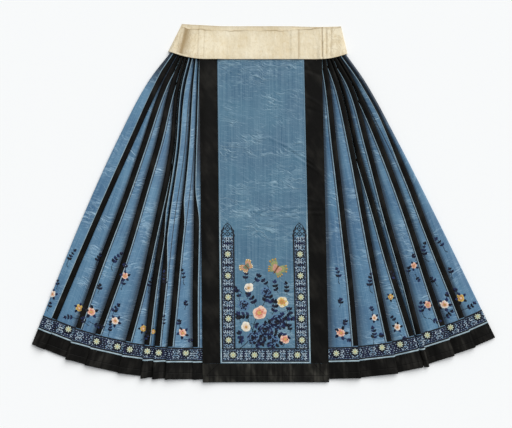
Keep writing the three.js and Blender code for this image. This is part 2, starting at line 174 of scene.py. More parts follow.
# Main creases of the silk: middle x and y, length, turn in degrees, half width, height.
CREASES = (
    (-85, 352, 70, 32, 3.1, 1.08),
    (-70, 338, 90, 24, 2.5, -0.86),
    (-15, 362, 150, 6, 3.1, 0.94),
    (40, 352, 110, -4, 3.7, -0.86),
    (-20, 340, 46, -38, 1.9, 1.08),
    (85, 345, 130, 38, 5.6, 0.94),
    (118, 352, 80, -22, 3.1, -0.94),
    (60, 318, 50, 62, 3.1, 0.58),
    (-90, 268, 46, -12, 2.5, 0.79),
    (-92, 244, 70, -38, 2.5, 0.58),
    (-60, 228, 46, -18, 3.1, 0.5),
    (126, 276, 60, -30, 2.5, 0.72),
    (112, 252, 70, -20, 2.5, -0.58),
    (30, 226, 80, 40, 5.0, 0.72),
    (0, 170, 90, 8, 2.5, 0.5),
    (52, 156, 50, -24, 1.9, 0.79),
    (78, 140, 150, -31, 1.7, 1.37),
    (86, 128, 140, -33, 1.7, -1.08),
    (104, 110, 100, -32, 1.7, 1.01),
    (88, 158, 60, 34, 1.9, 0.65),
    (-70, 96, 60, -20, 2.5, 0.5),
    (-54, 70, 40, -38, 1.9, 0.72),
    (20, 36, 120, 6, 3.1, 0.65),
    (70, 28, 90, 4, 2.5, 0.65),
    (-60, 10, 60, 24, 2.5, 0.79),
    (-48, -22, 90, 8, 2.1, 1.15),
    (30, -16, 130, 6, 2.5, 1.08),
    (96, -12, 80, 2, 2.5, 0.94),
    (94, -30, 150, 5, 2.5, 1.22),
    (0, -36, 80, -6, 3.1, -0.72),
    (120, 10, 50, -12, 2.5, 0.86),
    (-90, -70, 60, 4, 3.1, 0.58),
    (40, -74, 110, -5, 4.3, 0.58),
    (-20, -118, 90, 10, 4.3, 0.5),
    (60, -150, 80, -12, 3.7, 0.5),
    (-10, -300, 70, 16, 4.3, 0.43),
    (205, 160, 36, 14, 1.9, 0.72),
    (196, 60, 34, -10, 1.9, 0.86),
    (206, -16, 40, 6, 1.9, 0.79),
    (232, -48, 60, 20, 2.5, 0.72),
    (246, -96, 60, 28, 2.5, 0.86),
    (196, -110, 50, 4, 2.5, 0.65),
    (258, 30, 44, -6, 1.9, 0.72),
    (262, -40, 60, -14, 2.5, 0.86),
    (310, -100, 70, 10, 2.5, 0.94),
    (300, -220, 60, 30, 3.1, 0.65),
    (298, -300, 60, -14, 3.1, 0.58),
    (278, 96, 40, 20, 1.9, 0.94),
    (352, 84, 36, 24, 1.9, 0.79),
    (318, 170, 30, 34, 1.9, 1.08),
    (344, 140, 40, -22, 1.9, 0.86),
    (366, 60, 40, 26, 1.9, 0.86),
    (392, -44, 64, 16, 2.5, 1.08),
    (398, -62, 60, 20, 1.9, -0.86),
    (416, -110, 60, 24, 2.5, 0.94),
    (388, -150, 50, 38, 2.5, 0.65),
    (432, -210, 60, 12, 2.5, 0.65),
    (404, -240, 50, 30, 2.5, 0.79),
    (456, -260, 60, 22, 2.5, 0.86),
    (440, 0, 40, 18, 1.9, 0.94),
    (470, -70, 40, 28, 1.9, 0.86),
    (510, -200, 50, 26, 2.5, 0.65),
    (545, -300, 50, 20, 2.5, 0.58),
    (356, -340, 60, 6, 2.5, 0.58),
    (-196, 150, 34, -4, 1.9, 0.72),
    (-190, 30, 36, -12, 1.9, 0.86),
    (-200, -100, 50, -8, 2.5, 0.86),
    (-214, -170, 60, 6, 2.5, 0.94),
    (-206, -250, 50, 14, 3.1, 0.94),
    (-236, -100, 40, 32, 1.9, 1.01),
    (-248, -180, 44, -30, 1.9, 1.08),
    (-262, -260, 50, 24, 2.5, 0.94),
    (-246, -320, 40, -16, 2.5, 0.79),
    (-306, -40, 40, -22, 1.9, 1.01),
    (-330, -120, 60, -30, 2.5, 0.86),
    (-350, -210, 70, -20, 3.1, 0.72),
    (-372, -260, 80, -6, 3.1, 0.65),
    (-352, 60, 44, -34, 1.9, 0.94),
    (-372, 0, 50, -26, 1.9, 0.79),
    (-288, 96, 40, -18, 1.9, 1.01),
    (-320, 170, 40, -40, 1.9, 0.86),
    (-412, -70, 60, -34, 2.5, 0.79),
    (-430, -150, 70, -26, 2.5, 0.86),
    (-452, -240, 70, -40, 3.1, 0.65),
    (-398, -330, 60, -12, 2.5, 0.72),
    (-500, -190, 60, -30, 2.5, 0.72),
    (-520, -270, 60, -18, 3.1, 0.65),
    (-420, 60, 50, -30, 1.9, 0.79),
    (-470, -60, 40, -36, 2.5, 0.72),
)

CREASE_BOW = 0.0009  # bend of a crease, for the square of its length
CREASE_TAPER = 1.9  # how soon it ends

FLOOR_CLEAR = 0.05  # no cloth goes lower than this
SHELL = 0.6  # thickness of a dressed cloth
THIN = 0.7  # thickness of a strip or a ribbon
BACK_THICK = 0.9  # thickness of a cloth of the back
WAVER = 1.2  # how far a fold line strays
FLUTE = 0.6  # height of the flutes at the hem
FLUTED_FROM = 0.35  # share of the length where they start
DEEPEST_FOLD = 30.0  # most that is turned under at a fold


# Shapes in numbers


def eased(t):
    """A share from 0 to 1 that starts and ends gently."""
    return t * t * (3 - 2 * t)


def smooth(xs, ys, x):
    """A smooth line through a few points, in step with the straight one between them."""
    xs = np.asarray(xs, float)
    ys = np.asarray(ys, float)
    slope = np.diff(ys) / np.diff(xs)
    lean = np.concatenate([slope[:1], (slope[1:] + slope[:-1]) / 2, slope[-1:]])
    i = np.clip(np.searchsorted(xs, x) - 1, 0, len(xs) - 2)
    run = xs[i + 1] - xs[i]
    t = np.clip((x - xs[i]) / run, 0, 1)
    start = lean[i] * run * t * (1 - t) ** 2
    end = lean[i + 1] * run * t * t * (1 - t)
    return ys[i] * (1 - eased(t)) + ys[i + 1] * eased(t) + start - end


def band_low(x):
    """The waistband's lower edge, which rises to its two ends."""
    (left_rise, left_run), (right_rise, right_run) = BAND_ENDS
    rise = np.where(x < 0, left_rise, right_rise)
    run = np.where(x < 0, left_run, right_run)
    past = np.maximum(0, np.abs(x) - BAND_LEVEL) / run
    return BAND_LOW + rise * past * past


def lie(x, y):
    """Height of the creases at a place on the front."""
    height = np.zeros_like(x)
    for cx, cy, length, turn, half, rise in CREASES:
        a = math.radians(turn)
        dx, dy = x - cx, y - cy
        along = dx * math.cos(a) + dy * math.sin(a)
        bow = CREASE_BOW * along * along * (1 if rise > 0 else -1)
        across = -dx * math.sin(a) + dy * math.cos(a) + bow
        height += rise * np.exp(-((across / half) ** 2) - (CREASE_TAPER * along / length) ** 2)
    return height


class Side:
    """One side of the skirt: where its fold lines run."""

    def __init__(self, label, sign, lines, hem):
        self.label = label
        self.sign = sign
        self.lines = lines
        self.hem = hem

    def out(self, k, share):
        """Distance of a fold line from the centre, with the small waver of a line pressed by hand."""
        line = smooth(SHARES, self.lines[k][1], share)
        if self.lines[k][0] != "fold":
            return line
        waver = np.sin(share * (7.0 + 1.7 * (k % 3)) + 1.9 * k) + 0.6 * np.sin(share * 15.0 + 2.3 * k)
        return line + WAVER * waver * np.sin(np.pi * np.clip(share, 0, 1)) ** 0.7 * np.clip(share * 4, 0, 1)

    def flutes(self, share, u):
        """Soft upright folds that open towards the hem."""
        fan = u / self.out(len(self.lines) - 1, share)[:, None]
        wave = np.sin(fan * 118 + 2.2 * np.sin(fan * 31 + 1)) + 0.5 * np.sin(fan * 57 + 3)
        return FLUTE * wave * np.clip((share[:, None] - FLUTED_FROM) / (1 - FLUTED_FROM), 0, 1) ** 1.5

    def rows(self, share):
        """For each share, the x and y of every fold line."""
        xs = np.stack([self.out(k, share) for k in range(len(self.lines))], axis=1)
        first = np.array([line[1][0] for line in self.lines], float)
        last = np.array([line[1][-1] for line in self.lines], float)
        top = band_low(self.sign * first) + TUCK
        low = smooth([p[0] for p in self.hem], [p[1] for p in self.hem], last)
        ys = top + share[:, None] * (low - top)
        return xs, ys

    def place(self, share, u, z, base, drop=0.0):
        """Points of a grid from the distance out, the height and the share of the way down."""
        xs, ys = self.rows(share)
        y = np.stack([np.interp(u[i], xs[i], ys[i]) for i in range(len(share))]) - drop
        return np.stack([self.sign * u, y, base + z], axis=2)


RIGHT = Side("right", 1, RIGHT_LINES, RIGHT_HEM)
LEFT = Side("left", -1, LEFT_LINES, LEFT_HEM)

# Columns of a gore: round its fold, across its strip, across its open face, and across a turned one.
FOLD_STEPS = 8
STRIP_STEPS = 6
FACE_STEPS = 12
TURNED_STEPS = 14


def fold_depth(width):
    """How far the cloth is turned under at a fold of a pleat that is so wide."""
    return np.minimum(DEEPEST_FOLD, width / 2)


def round_fold(u, top, under):
    """The columns (u, z) round a fold, from its top to its underside."""
    r = (top - under) / 2
    angles = np.radians(np.linspace(0, 180, FOLD_STEPS + 1))
    return [(u - r + r * math.sin(a), under + r + r * math.cos(a)) for a in angles]


def strip_width(side, k, share):
    """How much of a gore's black strip shows beside its fold."""
    if (side.label, k) not in ROLLED:
        return STRIP + 0 * share
    start, end = ROLLED[(side.label, k)]
    t = np.clip((share - start) / (end - start), 0, 1)
    return ROLLED_WIDTH + (STRIP - ROLLED_WIDTH) * eased(t)


UNDER_EDGE = LIE - FRONT_Z  # underside of the outermost fold, which reaches down to the lowest cloth


def last_gore(a, b, nose):
    """The gore between a fold that faces the panel and the side's edge: its strip is on the inner fold."""
    depth = fold_depth(b - a)
    fold = round_fold(0 * a, nose, LIE)[::-1]
    edge = round_fold(b, EDGE_HEIGHT + 0 * b, UNDER_EDGE)
    top_u = a - fold[-1][0]
    strip_to = np.minimum(a + STRIP, (top_u + edge[0][0]) / 2)
    columns = []
    for t in (0.0, 0.5):
        columns.append((a + depth + t * (-fold[0][0] - depth), LIE + 0 * a, t * 0.8))
    columns += [(a - u, z, 1.0) for u, z in fold]
    for t in np.linspace(0, 1, STRIP_STEPS)[1:]:
        columns.append((top_u + t * (strip_to - top_u), nose, 1 - 0.3 * t))
    strip = (4, len(columns))
    for t in np.linspace(0, 1, FACE_STEPS)[1:-1]:
        u = strip_to + t * (edge[0][0] - strip_to)
        columns.append((u, nose + eased(t) * (EDGE_HEIGHT - nose), 0.7 * (1 - t)))
    columns += [(u, z, 0.0) for u, z in edge]
    columns.append((edge[-1][0] - EDGE_LIP, UNDER_EDGE + 0 * b, 0.0))
    return columns, strip


def turned_gore(a, b, first, depth):
    """The open face of the gore whose fold is hidden under the last one."""
    columns = []
    for t in np.linspace(0, 1, TURNED_STEPS)[1:]:
        lift = 1.2 * math.sin(t * math.pi) ** 2 * np.clip((b - a) / 12, 0, 1)
        reach = b - 1 if t < 1 else b + depth
        columns.append((first + t * (reach - first), SILK + lift * (t < 0.95), 0.0))
    return columns


def gore_section(side, k, share):
    """Columns (u, z, weight of the hem's drop) across one gore, and where its strip starts and ends."""
    lines = side.lines
    a = side.out(k - 1, share)
    b = side.out(k, share)
    own, before = lines[k][0], lines[k - 1][0]
    nose = NOSE_WAIST + (NOSE_HEM - NOSE_WAIST) * share
    if before == "turned":
        return last_gore(a, b, nose)
    lapped = 0 * a if k == 1 else fold_depth(a - side.out(k - 2, share))
    start = UNDER_LAP + 0 * a if before == "panel" else lapped
    columns = []
    if before != "start":
        for t in (0.0, 0.5, 1.0):
            columns.append((a - start + t * (start + 1), SILK + 0 * a, 0.0))
        first = a + 1
    else:
        columns.append((a, SILK + 0 * a, 0.0))
        first = a
    if own == "turned":
        depth = fold_depth(side.out(k + 1, share) - b)
        return columns + turned_gore(a, b, first, depth), None
    edge = own == "edge"
    top = EDGE_HEIGHT + 0 * a if edge else (PANEL_RISE + 0 * a if before == "start" else nose)
    under = UNDER_EDGE if edge else LIE
    fold = round_fold(b, top, under)
    fold_u = fold[0][0]
    strip_from = np.minimum(np.maximum(b - strip_width(side, k, share), a + STRIP_CLEAR), fold_u - 0.6)
    run = fold_u - first

    def face(u, w):
        z = SILK + (top - SILK) * np.sin((u - first) / run * math.pi / 2)
        columns.append((u, z, w))

    for t in np.linspace(0, 1, FACE_STEPS)[1:]:
        face(first + t * (strip_from - first), 0.6 * t * t)
    strip_at = len(columns) - 1
    for t in np.linspace(0, 1, STRIP_STEPS)[1:-1]:
        face(strip_from + t * (fold_u - strip_from), 0.6 + 0.4 * t)
    columns += [(u, z, 0.0 if edge else 1.0) for u, z in fold]
    strip_end = len(columns) - 2
    if edge:
        columns.append((fold[-1][0] - EDGE_LIP, under + 0 * b, 0.0))
    else:
        depth = fold_depth(b - a)
        for t in (0.5, 1.0):
            columns.append((fold[-1][0] + t * (b - depth - fold[-1][0]), under + 0 * b, 1 - t))
    return columns, None if edge else (strip_at, strip_end)


def gore_grid(side, k, share):
    """The same section as arrays: distance out, height, weight of the drop, and the strip's columns."""
    columns, strip = gore_section(side, k, share)
    u = np.stack([c[0] for c in columns], axis=1)
    z = np.stack([c[1] + 0 * share for c in columns], axis=1)
    weight = np.array([c[2] for c in columns])
    return u, z, weight, strip


def hem_drop(side, k, share, weight):
    """How far a gore's corner hangs below its neighbour near the hem."""
    late = np.clip((share - 0.8) / 0.2, 0, 1) ** 2
    line = side.lines[k]
    amount = side.lines[k - 1][2] if side.lines[k - 1][0] == "turned" else line[2]
    return amount * late[:, None] * weight[None, :]


def creased(points, up):
    """Adds the creases where the cloth lies open to view."""
    x, y = points[..., 0], points[..., 1]
    return points + np.stack([0 * x, 0 * x, lie(x, y) * up], axis=2)


def free(z):
    """0 where a cloth lies flat on the next one, 1 where it stands clear of it."""
    return np.clip((z - SILK - 0.4) / 1.5, 0, 1)


def gore_points(side, k, share):
    """The points of a gore, the columns of its strip, and how much shade is painted on each point."""
    u, z, weight, strip = gore_grid(side, k, share)
    drop = hem_drop(side, k, share, weight)
    points = side.place(share, u, z, FRONT_Z, drop)
    from_line = side.out(k - 1, share)[:, None]
    over = free(z) * (u > from_line)
    points[..., 2] += side.flutes(share, u) * over
    width = side.out(k, share)[:, None] - from_line
    # painted shade beside the fold that lies over this gore: darkest just beside it, fading across the gore
    across = np.clip((u - from_line) / np.maximum(width, 1), 0, 1)
    near_fold = np.exp(-(((u - from_line) / SHADE_CORE) ** 2))
    painted_shade = np.exp(-((across / SHADE_REACH) ** 2)) + 0.5 * near_fold
    # painted shade under the waist, fading out at the share where each gore comes out of it
    comes_out = OUT_OF_DARK[side.label][k - 1]
    dark = DARKEST * np.clip((comes_out - share[:, None]) / (0.02 + 0.4 * comes_out), 0, 1)
    return creased(points, over), strip, np.maximum(np.clip(painted_shade, 0, 1), dark)


def normals_of(points, up=True):
    """Unit normals of a grid, turned so that most of them point up, or down."""
    down_rows = np.gradient(points, axis=0)
    along_columns = np.gradient(points, axis=1)
    n = np.cross(along_columns, down_rows)
    n /= np.maximum(np.linalg.norm(n, axis=2, keepdims=True), 1e-9)
    if (n[..., 2].sum() > 0) != up:
        n = -n
    return n


def arc_lengths(points):
    """How far along the cloth each column lies from the first, on each row."""
    steps = np.linalg.norm(np.diff(points, axis=1), axis=2)
    return np.concatenate([np.zeros((len(points), 1)), np.cumsum(steps, axis=1)], axis=1)


# Meshes


def grid_faces(at):
    """The four-cornered faces of a grid of numbered points."""
    corners = (at[:-1, :-1], at[1:, :-1], at[1:, 1:], at[:-1, 1:])
    return np.stack(corners, axis=-1).reshape(-1, 4)


def mesh_object(name, vertices, quads, uv, material, crisp=50):
    """A smooth mesh, with sharp edges where two faces meet at more than the crisp angle, in degrees."""
    mesh = bpy.data.meshes.new(name)
    mesh.vertices.add(len(vertices))
    mesh.vertices.foreach_set("co", (np.asarray(vertices) * MM).astype(np.float32).ravel())
    mesh.loops.add(quads.size)
    mesh.loops.foreach_set("vertex_index", quads.astype(np.int32).ravel())
    mesh.polygons.add(len(quads))
    mesh.polygons.foreach_set("loop_start", np.arange(0, quads.size, quads.shape[1], dtype=np.int32))
    mesh.polygons.foreach_set("use_smooth", np.ones(len(quads), bool))
    layer = mesh.uv_layers.new(name="cloth")
    layer.data.foreach_set("uv", np.asarray(uv)[quads.ravel()].astype(np.float32).ravel())
    mesh.update(calc_edges=True)
    mesh.validate()
    mesh.set_sharp_from_angle(angle=math.radians(crisp))
    mesh.materials.append(material)
    made = bpy.data.objects.new(name, mesh)
    bpy.context.collection.objects.link(made)
    return made


def shell(name, points, uv, material, thickness=SHELL, up=True, values=None):
    """A thin closed cloth: the outer face through a grid of points, and an inner face behind it.
    Values are named grids of numbers that the material reads."""
    rows, columns = points.shape[:2]
    n = normals_of(points, up)
    inner = points - n * thickness
    inner[..., 2] = np.maximum(inner[..., 2], FLOOR_CLEAR)
    vertices = np.concatenate([points.reshape(-1, 3), inner.reshape(-1, 3)])
    both = np.concatenate([uv.reshape(-1, 2), uv.reshape(-1, 2)])
    at = np.arange(rows * columns).reshape(rows, columns)
    outer = grid_faces(at)
    corner = [points.reshape(-1, 3)[i] for i in outer[0]]
    flip = np.cross(corner[1] - corner[0], corner[3] - corner[0]) @ n[0, 0] < 0
    if flip:
        outer = outer[:, ::-1]
    back = outer[:, ::-1] + rows * columns
    edges = [at[0, :], at[:, -1], at[-1, ::-1], at[::-1, 0]]
    rims = []
    for line in edges:
        p, q = line[:-1], line[1:]
        rim = np.stack([p, q, q + rows * columns, p + rows * columns], axis=-1)
        rims.append(rim[:, ::-1] if flip else rim)
    quads = np.concatenate([outer, back, *rims])
    made = mesh_object(name, vertices, quads, both, material)
    for key, grid in (values or {}).items():
        layer = made.data.attributes.new(key, "FLOAT", "POINT")
        flat = np.asarray(grid, np.float32).ravel()
        layer.data.foreach_set("value", np.concatenate([flat, flat]))
    return made


def cord_ridge(name, paths, radius, material, flat=0.85):
    """Piping: a half-round ridge along each path of points, lying on the cloth with its normals."""
    vertices, quads, uv = [], [], []
    angles = np.radians(np.linspace(0, 180, 6))
    base = 0
    for points, normals in paths:
        run = np.gradient(points, axis=0)
        run /= np.linalg.norm(run, axis=1, keepdims=True)
        side = np.cross(run, normals)
        side /= np.linalg.norm(side, axis=1, keepdims=True)
        length = np.concatenate([[0], np.cumsum(np.linalg.norm(np.diff(points, axis=0), axis=1))])
        ring = [points + side * radius * math.cos(a) + normals * radius * flat * math.sin(a) for a in angles]
        grid = np.stack(ring, axis=1)
        rows, columns = grid.shape[:2]
        at = base + np.arange(rows * columns).reshape(rows, columns)
        closing = np.stack([at[:-1, -1], at[1:, -1], at[1:, 0], at[:-1, 0]], axis=-1)
        vertices.append(grid.reshape(-1, 3))
        quads.append(np.concatenate([grid_faces(at), closing]))
        for end, order in ((0, (0, 1, 2, 3)), (rows - 1, (3, 2, 1, 0))):
            for cap in ((0, 1, 4, 5), (1, 2, 3, 4)):
                quads.append(np.array([[at[end, cap[i]] for i in order]]))
        u = np.repeat(length[:, None], columns, axis=1) * MM
        v = np.tile(np.degrees(angles) / 180 * radius * 3 * MM, (rows, 1))
        uv.append(np.stack([u, v], axis=2).reshape(-1, 2))
        base += rows * columns
    corners, faces, places = (np.concatenate(part) for part in (vertices, quads, uv))
    made = mesh_object(name, corners, faces, places, material, 80)
    outward(made)
    return made


def outward(piece):
    """Turns the faces of a closed mesh outwards."""
    work = bmesh.new()
    work.from_mesh(piece.data)
    bmesh.ops.recalc_face_normals(work, faces=work.faces)
    work.to_mesh(piece.data)
    work.free()


# Materials


def working(operation):
    """A way of working out one value from another, or from two."""

    def work(self, *others):
        inputs = dict(enumerate((self, *others)))
        made = self.finish.node("ShaderNodeMath", {"operation": operation}, inputs)
        return Wire(self.finish, made.outputs[0])

    return work


class Wire:
    """A value inside a material, on which Python's own signs work."""

    def __init__(self, finish, socket):
        self.finish = finish
        self.socket = socket

    __add__ = __radd__ = working("ADD")
    __sub__ = working("SUBTRACT")
    __mul__ = __rmul__ = working("MULTIPLY")
    __truediv__ = working("DIVIDE")
    __pow__ = working("POWER")
    __gt__ = working("GREATER_THAN")
    __lt__ = working("LESS_THAN")
    __abs__ = working("ABSOLUTE")
    sine = working("SINE")
    fraction = working("FRACT")
    least = working("MINIMUM")
    most = working("MAXIMUM")
    angle = working("ARCTAN2")
    fold_back = working("PINGPONG")

    def __rsub__(self, other):
        return self * -1 + other

    def repeat(self, period):
        """Distance from the nearest multiple of a period."""
        return self.fold_back(period / 2)

    def ramp(self, low, high, to_low=0.0, to_high=1.0):
        settings = {"interpolation_type": "SMOOTHSTEP"}
        inputs = {0: self, 1: low, 2: high, 3: to_low, 4: to_high}
        made = self.finish.node("ShaderNodeMapRange", settings, inputs)
        return Wire(self.finish, made.outputs[0])


class Finish:
    """A material in the making."""

    def __init__(self, name):
        self.material = bpy.data.materials.new(name)
        self.material.use_nodes = True
        self.tree = self.material.node_tree
        self.tree.nodes.clear()

    def node(self, kind, settings=None, inputs=None):
        made = self.tree.nodes.new(kind)
        for key, value in (settings or {}).items():
            setattr(made, key, value)
        for key, value in (inputs or {}).items():
            self.feed(made.inputs[key], value)
        return made

    def feed(self, socket, value):
        if isinstance(value, Wire):
            self.tree.links.new(value.socket, socket)
        else:
            socket.default_value = value

    def wire(self, node, output=0):
        return Wire(self, node.outputs[output])

    def across_and_along(self):
        """The cloth's own coordinates, in metres."""
        uv = self.node("ShaderNodeUVMap", {"uv_map": "cloth"})
        split = self.node("ShaderNodeSeparateXYZ", None, {0: self.wire(uv)})
        return self.wire(split, 0), self.wire(split, 1)

    def vector(self, x, y, z=0.0):
        return self.wire(self.node("ShaderNodeCombineXYZ", None, {0: x, 1: y, 2: z}))

    def noise(self, x, y, scale=1.0, detail=2.0, rough=0.5, z=0.0):
        inputs = {"Vector": self.vector(x, y, z), "Scale": scale, "Detail": detail, "Roughness": rough}
        return self.wire(self.node("ShaderNodeTexNoise", None, inputs))

    def mix(self, factor, a, b, way="MIX"):
        settings = {"data_type": "RGBA", "blend_type": way}
        return self.wire(self.node("ShaderNodeMix", settings, {0: factor, 6: a, 7: b}), 2)

    def tint(self, name):
        return self.wire(self.node("ShaderNodeAttribute", {"attribute_name": name}))

    def value(self, name):
        return self.wire(self.node("ShaderNodeAttribute", {"attribute_name": name}), 2)

    def finish(self, colour, roughness, height=None, lift=0.0003, strength=1.0, constants=None):
        inputs = {"Base Color": colour, "Roughness": roughness}
        inputs.update(constants or {})
        if height is not None:
            settings = {"Strength": strength, "Distance": lift, "Height": height}
            inputs["Normal"] = self.wire(self.node("ShaderNodeBump", None, settings))
        shader = self.node("ShaderNodeBsdfPrincipled", None, inputs)
        self.node("ShaderNodeOutputMaterial", None, {"Surface": self.wire(shader)})
        return self.material


def sheen(weight, tint, gloss=0.5):
    """The bloom of a cloth's fibres, and how strongly its face shines."""
    constants = {"Sheen Weight": weight, "Sheen Tint": tint, "Sheen Roughness": 0.4}
    constants["Specular IOR Level"] = gloss
    return constants


def rgb(r, g, b):
    """A colour as it is seen, turned to the amounts of light that a material takes."""
    return tuple(((c / 255 + 0.055) / 1.055) ** 2.4 if c > 10 else c / 3295 for c in (r, g, b)) + (1.0,)


EDGE_LINE = 4.9  # a dark line runs this far beyond each strip, away from the fold
EDGE_LINE_HALF = 1.1  # half its width


def blue_silk(name, body, pale, deep, painted_shade=None, edge_lines=False, lively=1.0, pressed_at=()):
    """Ribbed silk: fine warp and weft, crosswise crinkles with painted highlights and painted shade in their
    troughs.
    Given a shade colour, it paints shade beside the folds. Lively silk has stronger painted highlights on its
    crinkles.
    In pressed_at are heights where the crinkles gather, and how widely."""
    f = Finish(name)
    x, y = f.across_and_along()
    warp = f.noise(x * 520, y * 7, 1, 2, 0.6)
    broad = f.noise(x * 120, y * 2.5, 1, 2, 0.5, 3.0)
    weft = f.noise(x * 12, y * 560, 1, 2, 0.6, 7.0)
    cloud = f.noise(x * 10, y * 9, 1, 3, 0.5, 1.0)
    bend = f.noise(x * 18, y * 24, 1, 2, 0.5, 5.0)
    wrinkle = f.noise(x * 17 + bend * 1.6, y * 50 + x * 9 + bend * 1.4, 1, 3, 0.5, 2.0)
    ridge = (1 - abs(wrinkle - 0.5) * 18).most(0.0)
    trough = (1 - abs(wrinkle - 0.45) * 18).most(0.0)
    patch = f.noise(x * 9, y * 14, 1, 2, 0.55, 9.0).ramp(0.45, 0.66)
    for height, spread in pressed_at:
        patch = patch.most(abs(y - height).ramp(0.0, spread, 0.9, 0.0))
    slanted = y + (bend - 0.5) * 0.035 + x * 0.2
    streak = f.noise(x * 26, slanted * 180, 1, 2, 0.55, 11.0).ramp(0.55, 0.68)
    crinkle = (ridge * 0.5 + streak * 0.8).least(1.0) * patch
    small = f.noise(x * 60, slanted * 330, 1, 2, 0.5, 6.0).ramp(0.55, 0.68) * (patch * 0.6 + 0.4)
    tone = f.mix(cloud.ramp(0.32, 0.68), deep, body)
    tone = f.mix(warp.ramp(0.3, 0.7) * 0.15 + broad.ramp(0.4, 0.7) * 0.07, tone, pale)
    # deeper along the weft, and painted shade in the crinkles' troughs
    tone = f.mix(weft.ramp(0.35, 0.7) * 0.1 + trough * patch * 0.4, tone, deep)
    # painted highlights on the crinkles and the small streaks, stronger on lively silk
    tone = f.mix(((crinkle * 0.52 + small * 0.34) * lively).least(0.9), tone, pale)
    # painted shade beside the folds and under the waist, from the values on the gores
    if painted_shade:
        tone = f.mix(f.value("painted_shade") * 0.8, tone, painted_shade)
    if edge_lines:
        line = abs(x * 1000 - (STRIP + EDGE_LINE)) < EDGE_LINE_HALF
        tone = f.mix(line * 0.9, tone, rgb(18, 24, 34))
    height = warp * 0.2 + weft * 0.2 + crinkle * 1.8 + small * 0.8 + wrinkle * 1.4 - trough * patch * 1.2
    rough = 0.46 - crinkle * 0.1 + (warp - 0.5) * 0.1
    return f.finish(tone, rough, height, 0.0005, 0.9, sheen(0.1, rgb(190, 215, 235)))


def black_satin(name, body=(11, 10, 8), stitch_at=None, corner=None):
    """Satin with soft painted gleams, and a row of stitches and mitred corners where they are given.
    With the row of stitches comes painted shade in the troughs of upright folds.
    """
    f = Finish(name)
    x, y = f.across_and_along()
    thread = f.noise(x * 60, y * 900, 1, 2, 0.6)
    cloud = f.noise(x * 24 + y * 14, y * 10 - x * 10, 1, 3, 0.55, 2.0)
    wrinkle = f.noise(x * 42 + y * 16, y * 20 - x * 12, 1, 2, 0.5, 4.0)
    upright = f.noise(x * 110, y * 8, 1, 2, 0.5, 6.0)
    # painted highlights: soft lighter gleams over darker satin, following a cloud of noise
    low = rgb(*[c * 0.6 for c in body])
    painted_gleam = rgb(*[c * 1.5 + 15 for c in body])
    tone = f.mix(cloud.ramp(0.42, 0.8), low, painted_gleam)
    height = thread * 0.25 + wrinkle * 1.6
    if stitch_at is not None:
        groove = abs(y * 1000 - stitch_at).ramp(0.0, 1.4, 1.0, 0.0)
        height = height + upright * 2.2 - groove * 2.0
        # painted shade in the troughs of the hem band's upright folds
        tone = f.mix(upright.ramp(0.4, 0.52, 0.65, 0.0), tone, rgb(8, 7, 6))
        tone = f.mix(groove * 0.7, tone, rgb(9, 8, 8))
    if corner is not None:
        seam = abs(abs(x * 1000) + y * 1050 - corner).ramp(0.0, 1.2, 1.0, 0.0) * (y > 0.019)
        height = height - seam * 2.5
        tone = f.mix(seam * 0.8, tone, rgb(9, 8, 8))
    rough = 0.48 + (thread - 0.5) * 0.12 - (cloud - 0.5) * 0.1
    return f.finish(tone, rough, height, 0.0004, 0.9, sheen(0.01, rgb(150, 140, 130), 0.09))


def pale_piping(name, dark, light, dull=0.0, dull_from=0.0, dull_to=1.0):
    """Bias-cut piping; near the waist it is as blue as the silk by a share, which fades along it."""
    f = Finish(name)
    x, y = f.across_and_along()
    twill = (x * 3200 + y * 2600).sine()
    soft = f.noise(x * 60, y * 60, 1, 2, 0.5)
    tone = f.mix(soft.ramp(0.3, 0.7), rgb(*dark), rgb(*light))
    if dull:
        tone = f.mix(x.ramp(dull_from, dull_to, dull, 0.0), tone, rgb(82, 118, 142))
    return f.finish(tone, 0.5 + soft * 0.1, twill * 0.3 + soft, 0.0002, 0.7, sheen(0.1, rgb(220, 230, 240)))


def cotton():
    """Cream cotton, a little soiled, with slubs; painted highlights on its puckers, painted shade in its
    creases and folds.
    """
    f = Finish("cream cotton")
    x, y = f.across_and_along()
    warp = (x * 5200).sine()
    weft = (y * 4800).sine()
    slub = f.noise(x * 40, y * 520, 1, 3, 0.6)
    rib = f.noise(x * 330, y * 24, 1, 2, 0.6, 4.0)
    cloud = f.noise(x * 14, y * 18, 1, 4, 0.6, 2.0)
    spots = f.noise(x * 70, y * 90, 1, 3, 0.65, 8.0)
    crumple = f.noise(x * 80, y * 50, 1, 3, 0.55, 5.0)
    stray = f.noise(x * 60 + crumple * 2, y * 34 + crumple * 2, 1, 2, 0.5, 7.0)
    ends = x.ramp(0.11, 0.18).most((x * -1).ramp(0.13, 0.19))
    crease = (1 - abs(stray - 0.5) * 20).most(0.0) * (ends * 0.7 + 0.3)
    tone = f.mix(cloud.ramp(0.3, 0.7), rgb(221, 205, 172), rgb(235, 223, 196))
    tone = f.mix(rib.ramp(0.35, 0.7) * 0.3, tone, rgb(240, 230, 206))
    tone = f.mix(spots.ramp(0.55, 0.72) * 0.35, tone, rgb(204, 178, 128))
    # painted shade along the creases
    tone = f.mix(crease * 0.3, tone, rgb(176, 148, 98))
    # painted highlights on the tops of the puckers
    tone = f.mix(crumple.ramp(0.5, 0.7) * 0.25, tone, rgb(248, 240, 220))
    # painted shade in the pressed folds and along the waistband's edges
    tone = f.mix(f.value("painted_shade") * 0.8, tone, rgb(142, 114, 68))
    height = warp * 0.12 + weft * 0.12 + slub * 0.4 + rib * 0.5 + crumple * 4.4 - crease * 0.8
    return f.finish(tone, 0.85, height, 0.0005, 0.9, sheen(0.1, rgb(255, 250, 235)))


STAR_PITCH = 57.0  # from one round flower of the front ribbons to the next

# Scrolls of the ribbon: how far along and across from a round flower, width, and way of turning.
SCROLLS = ((15.0, 7.5, 6.4, 1), (24.0, 10.0, 4.8, -1), (24.5, 2.0, 4.6, 1))
SCROLL_PITCH = 6.8  # from one turn of a scroll to the next
SELVEDGE = 3.8  # width of the ribbon's dark edge


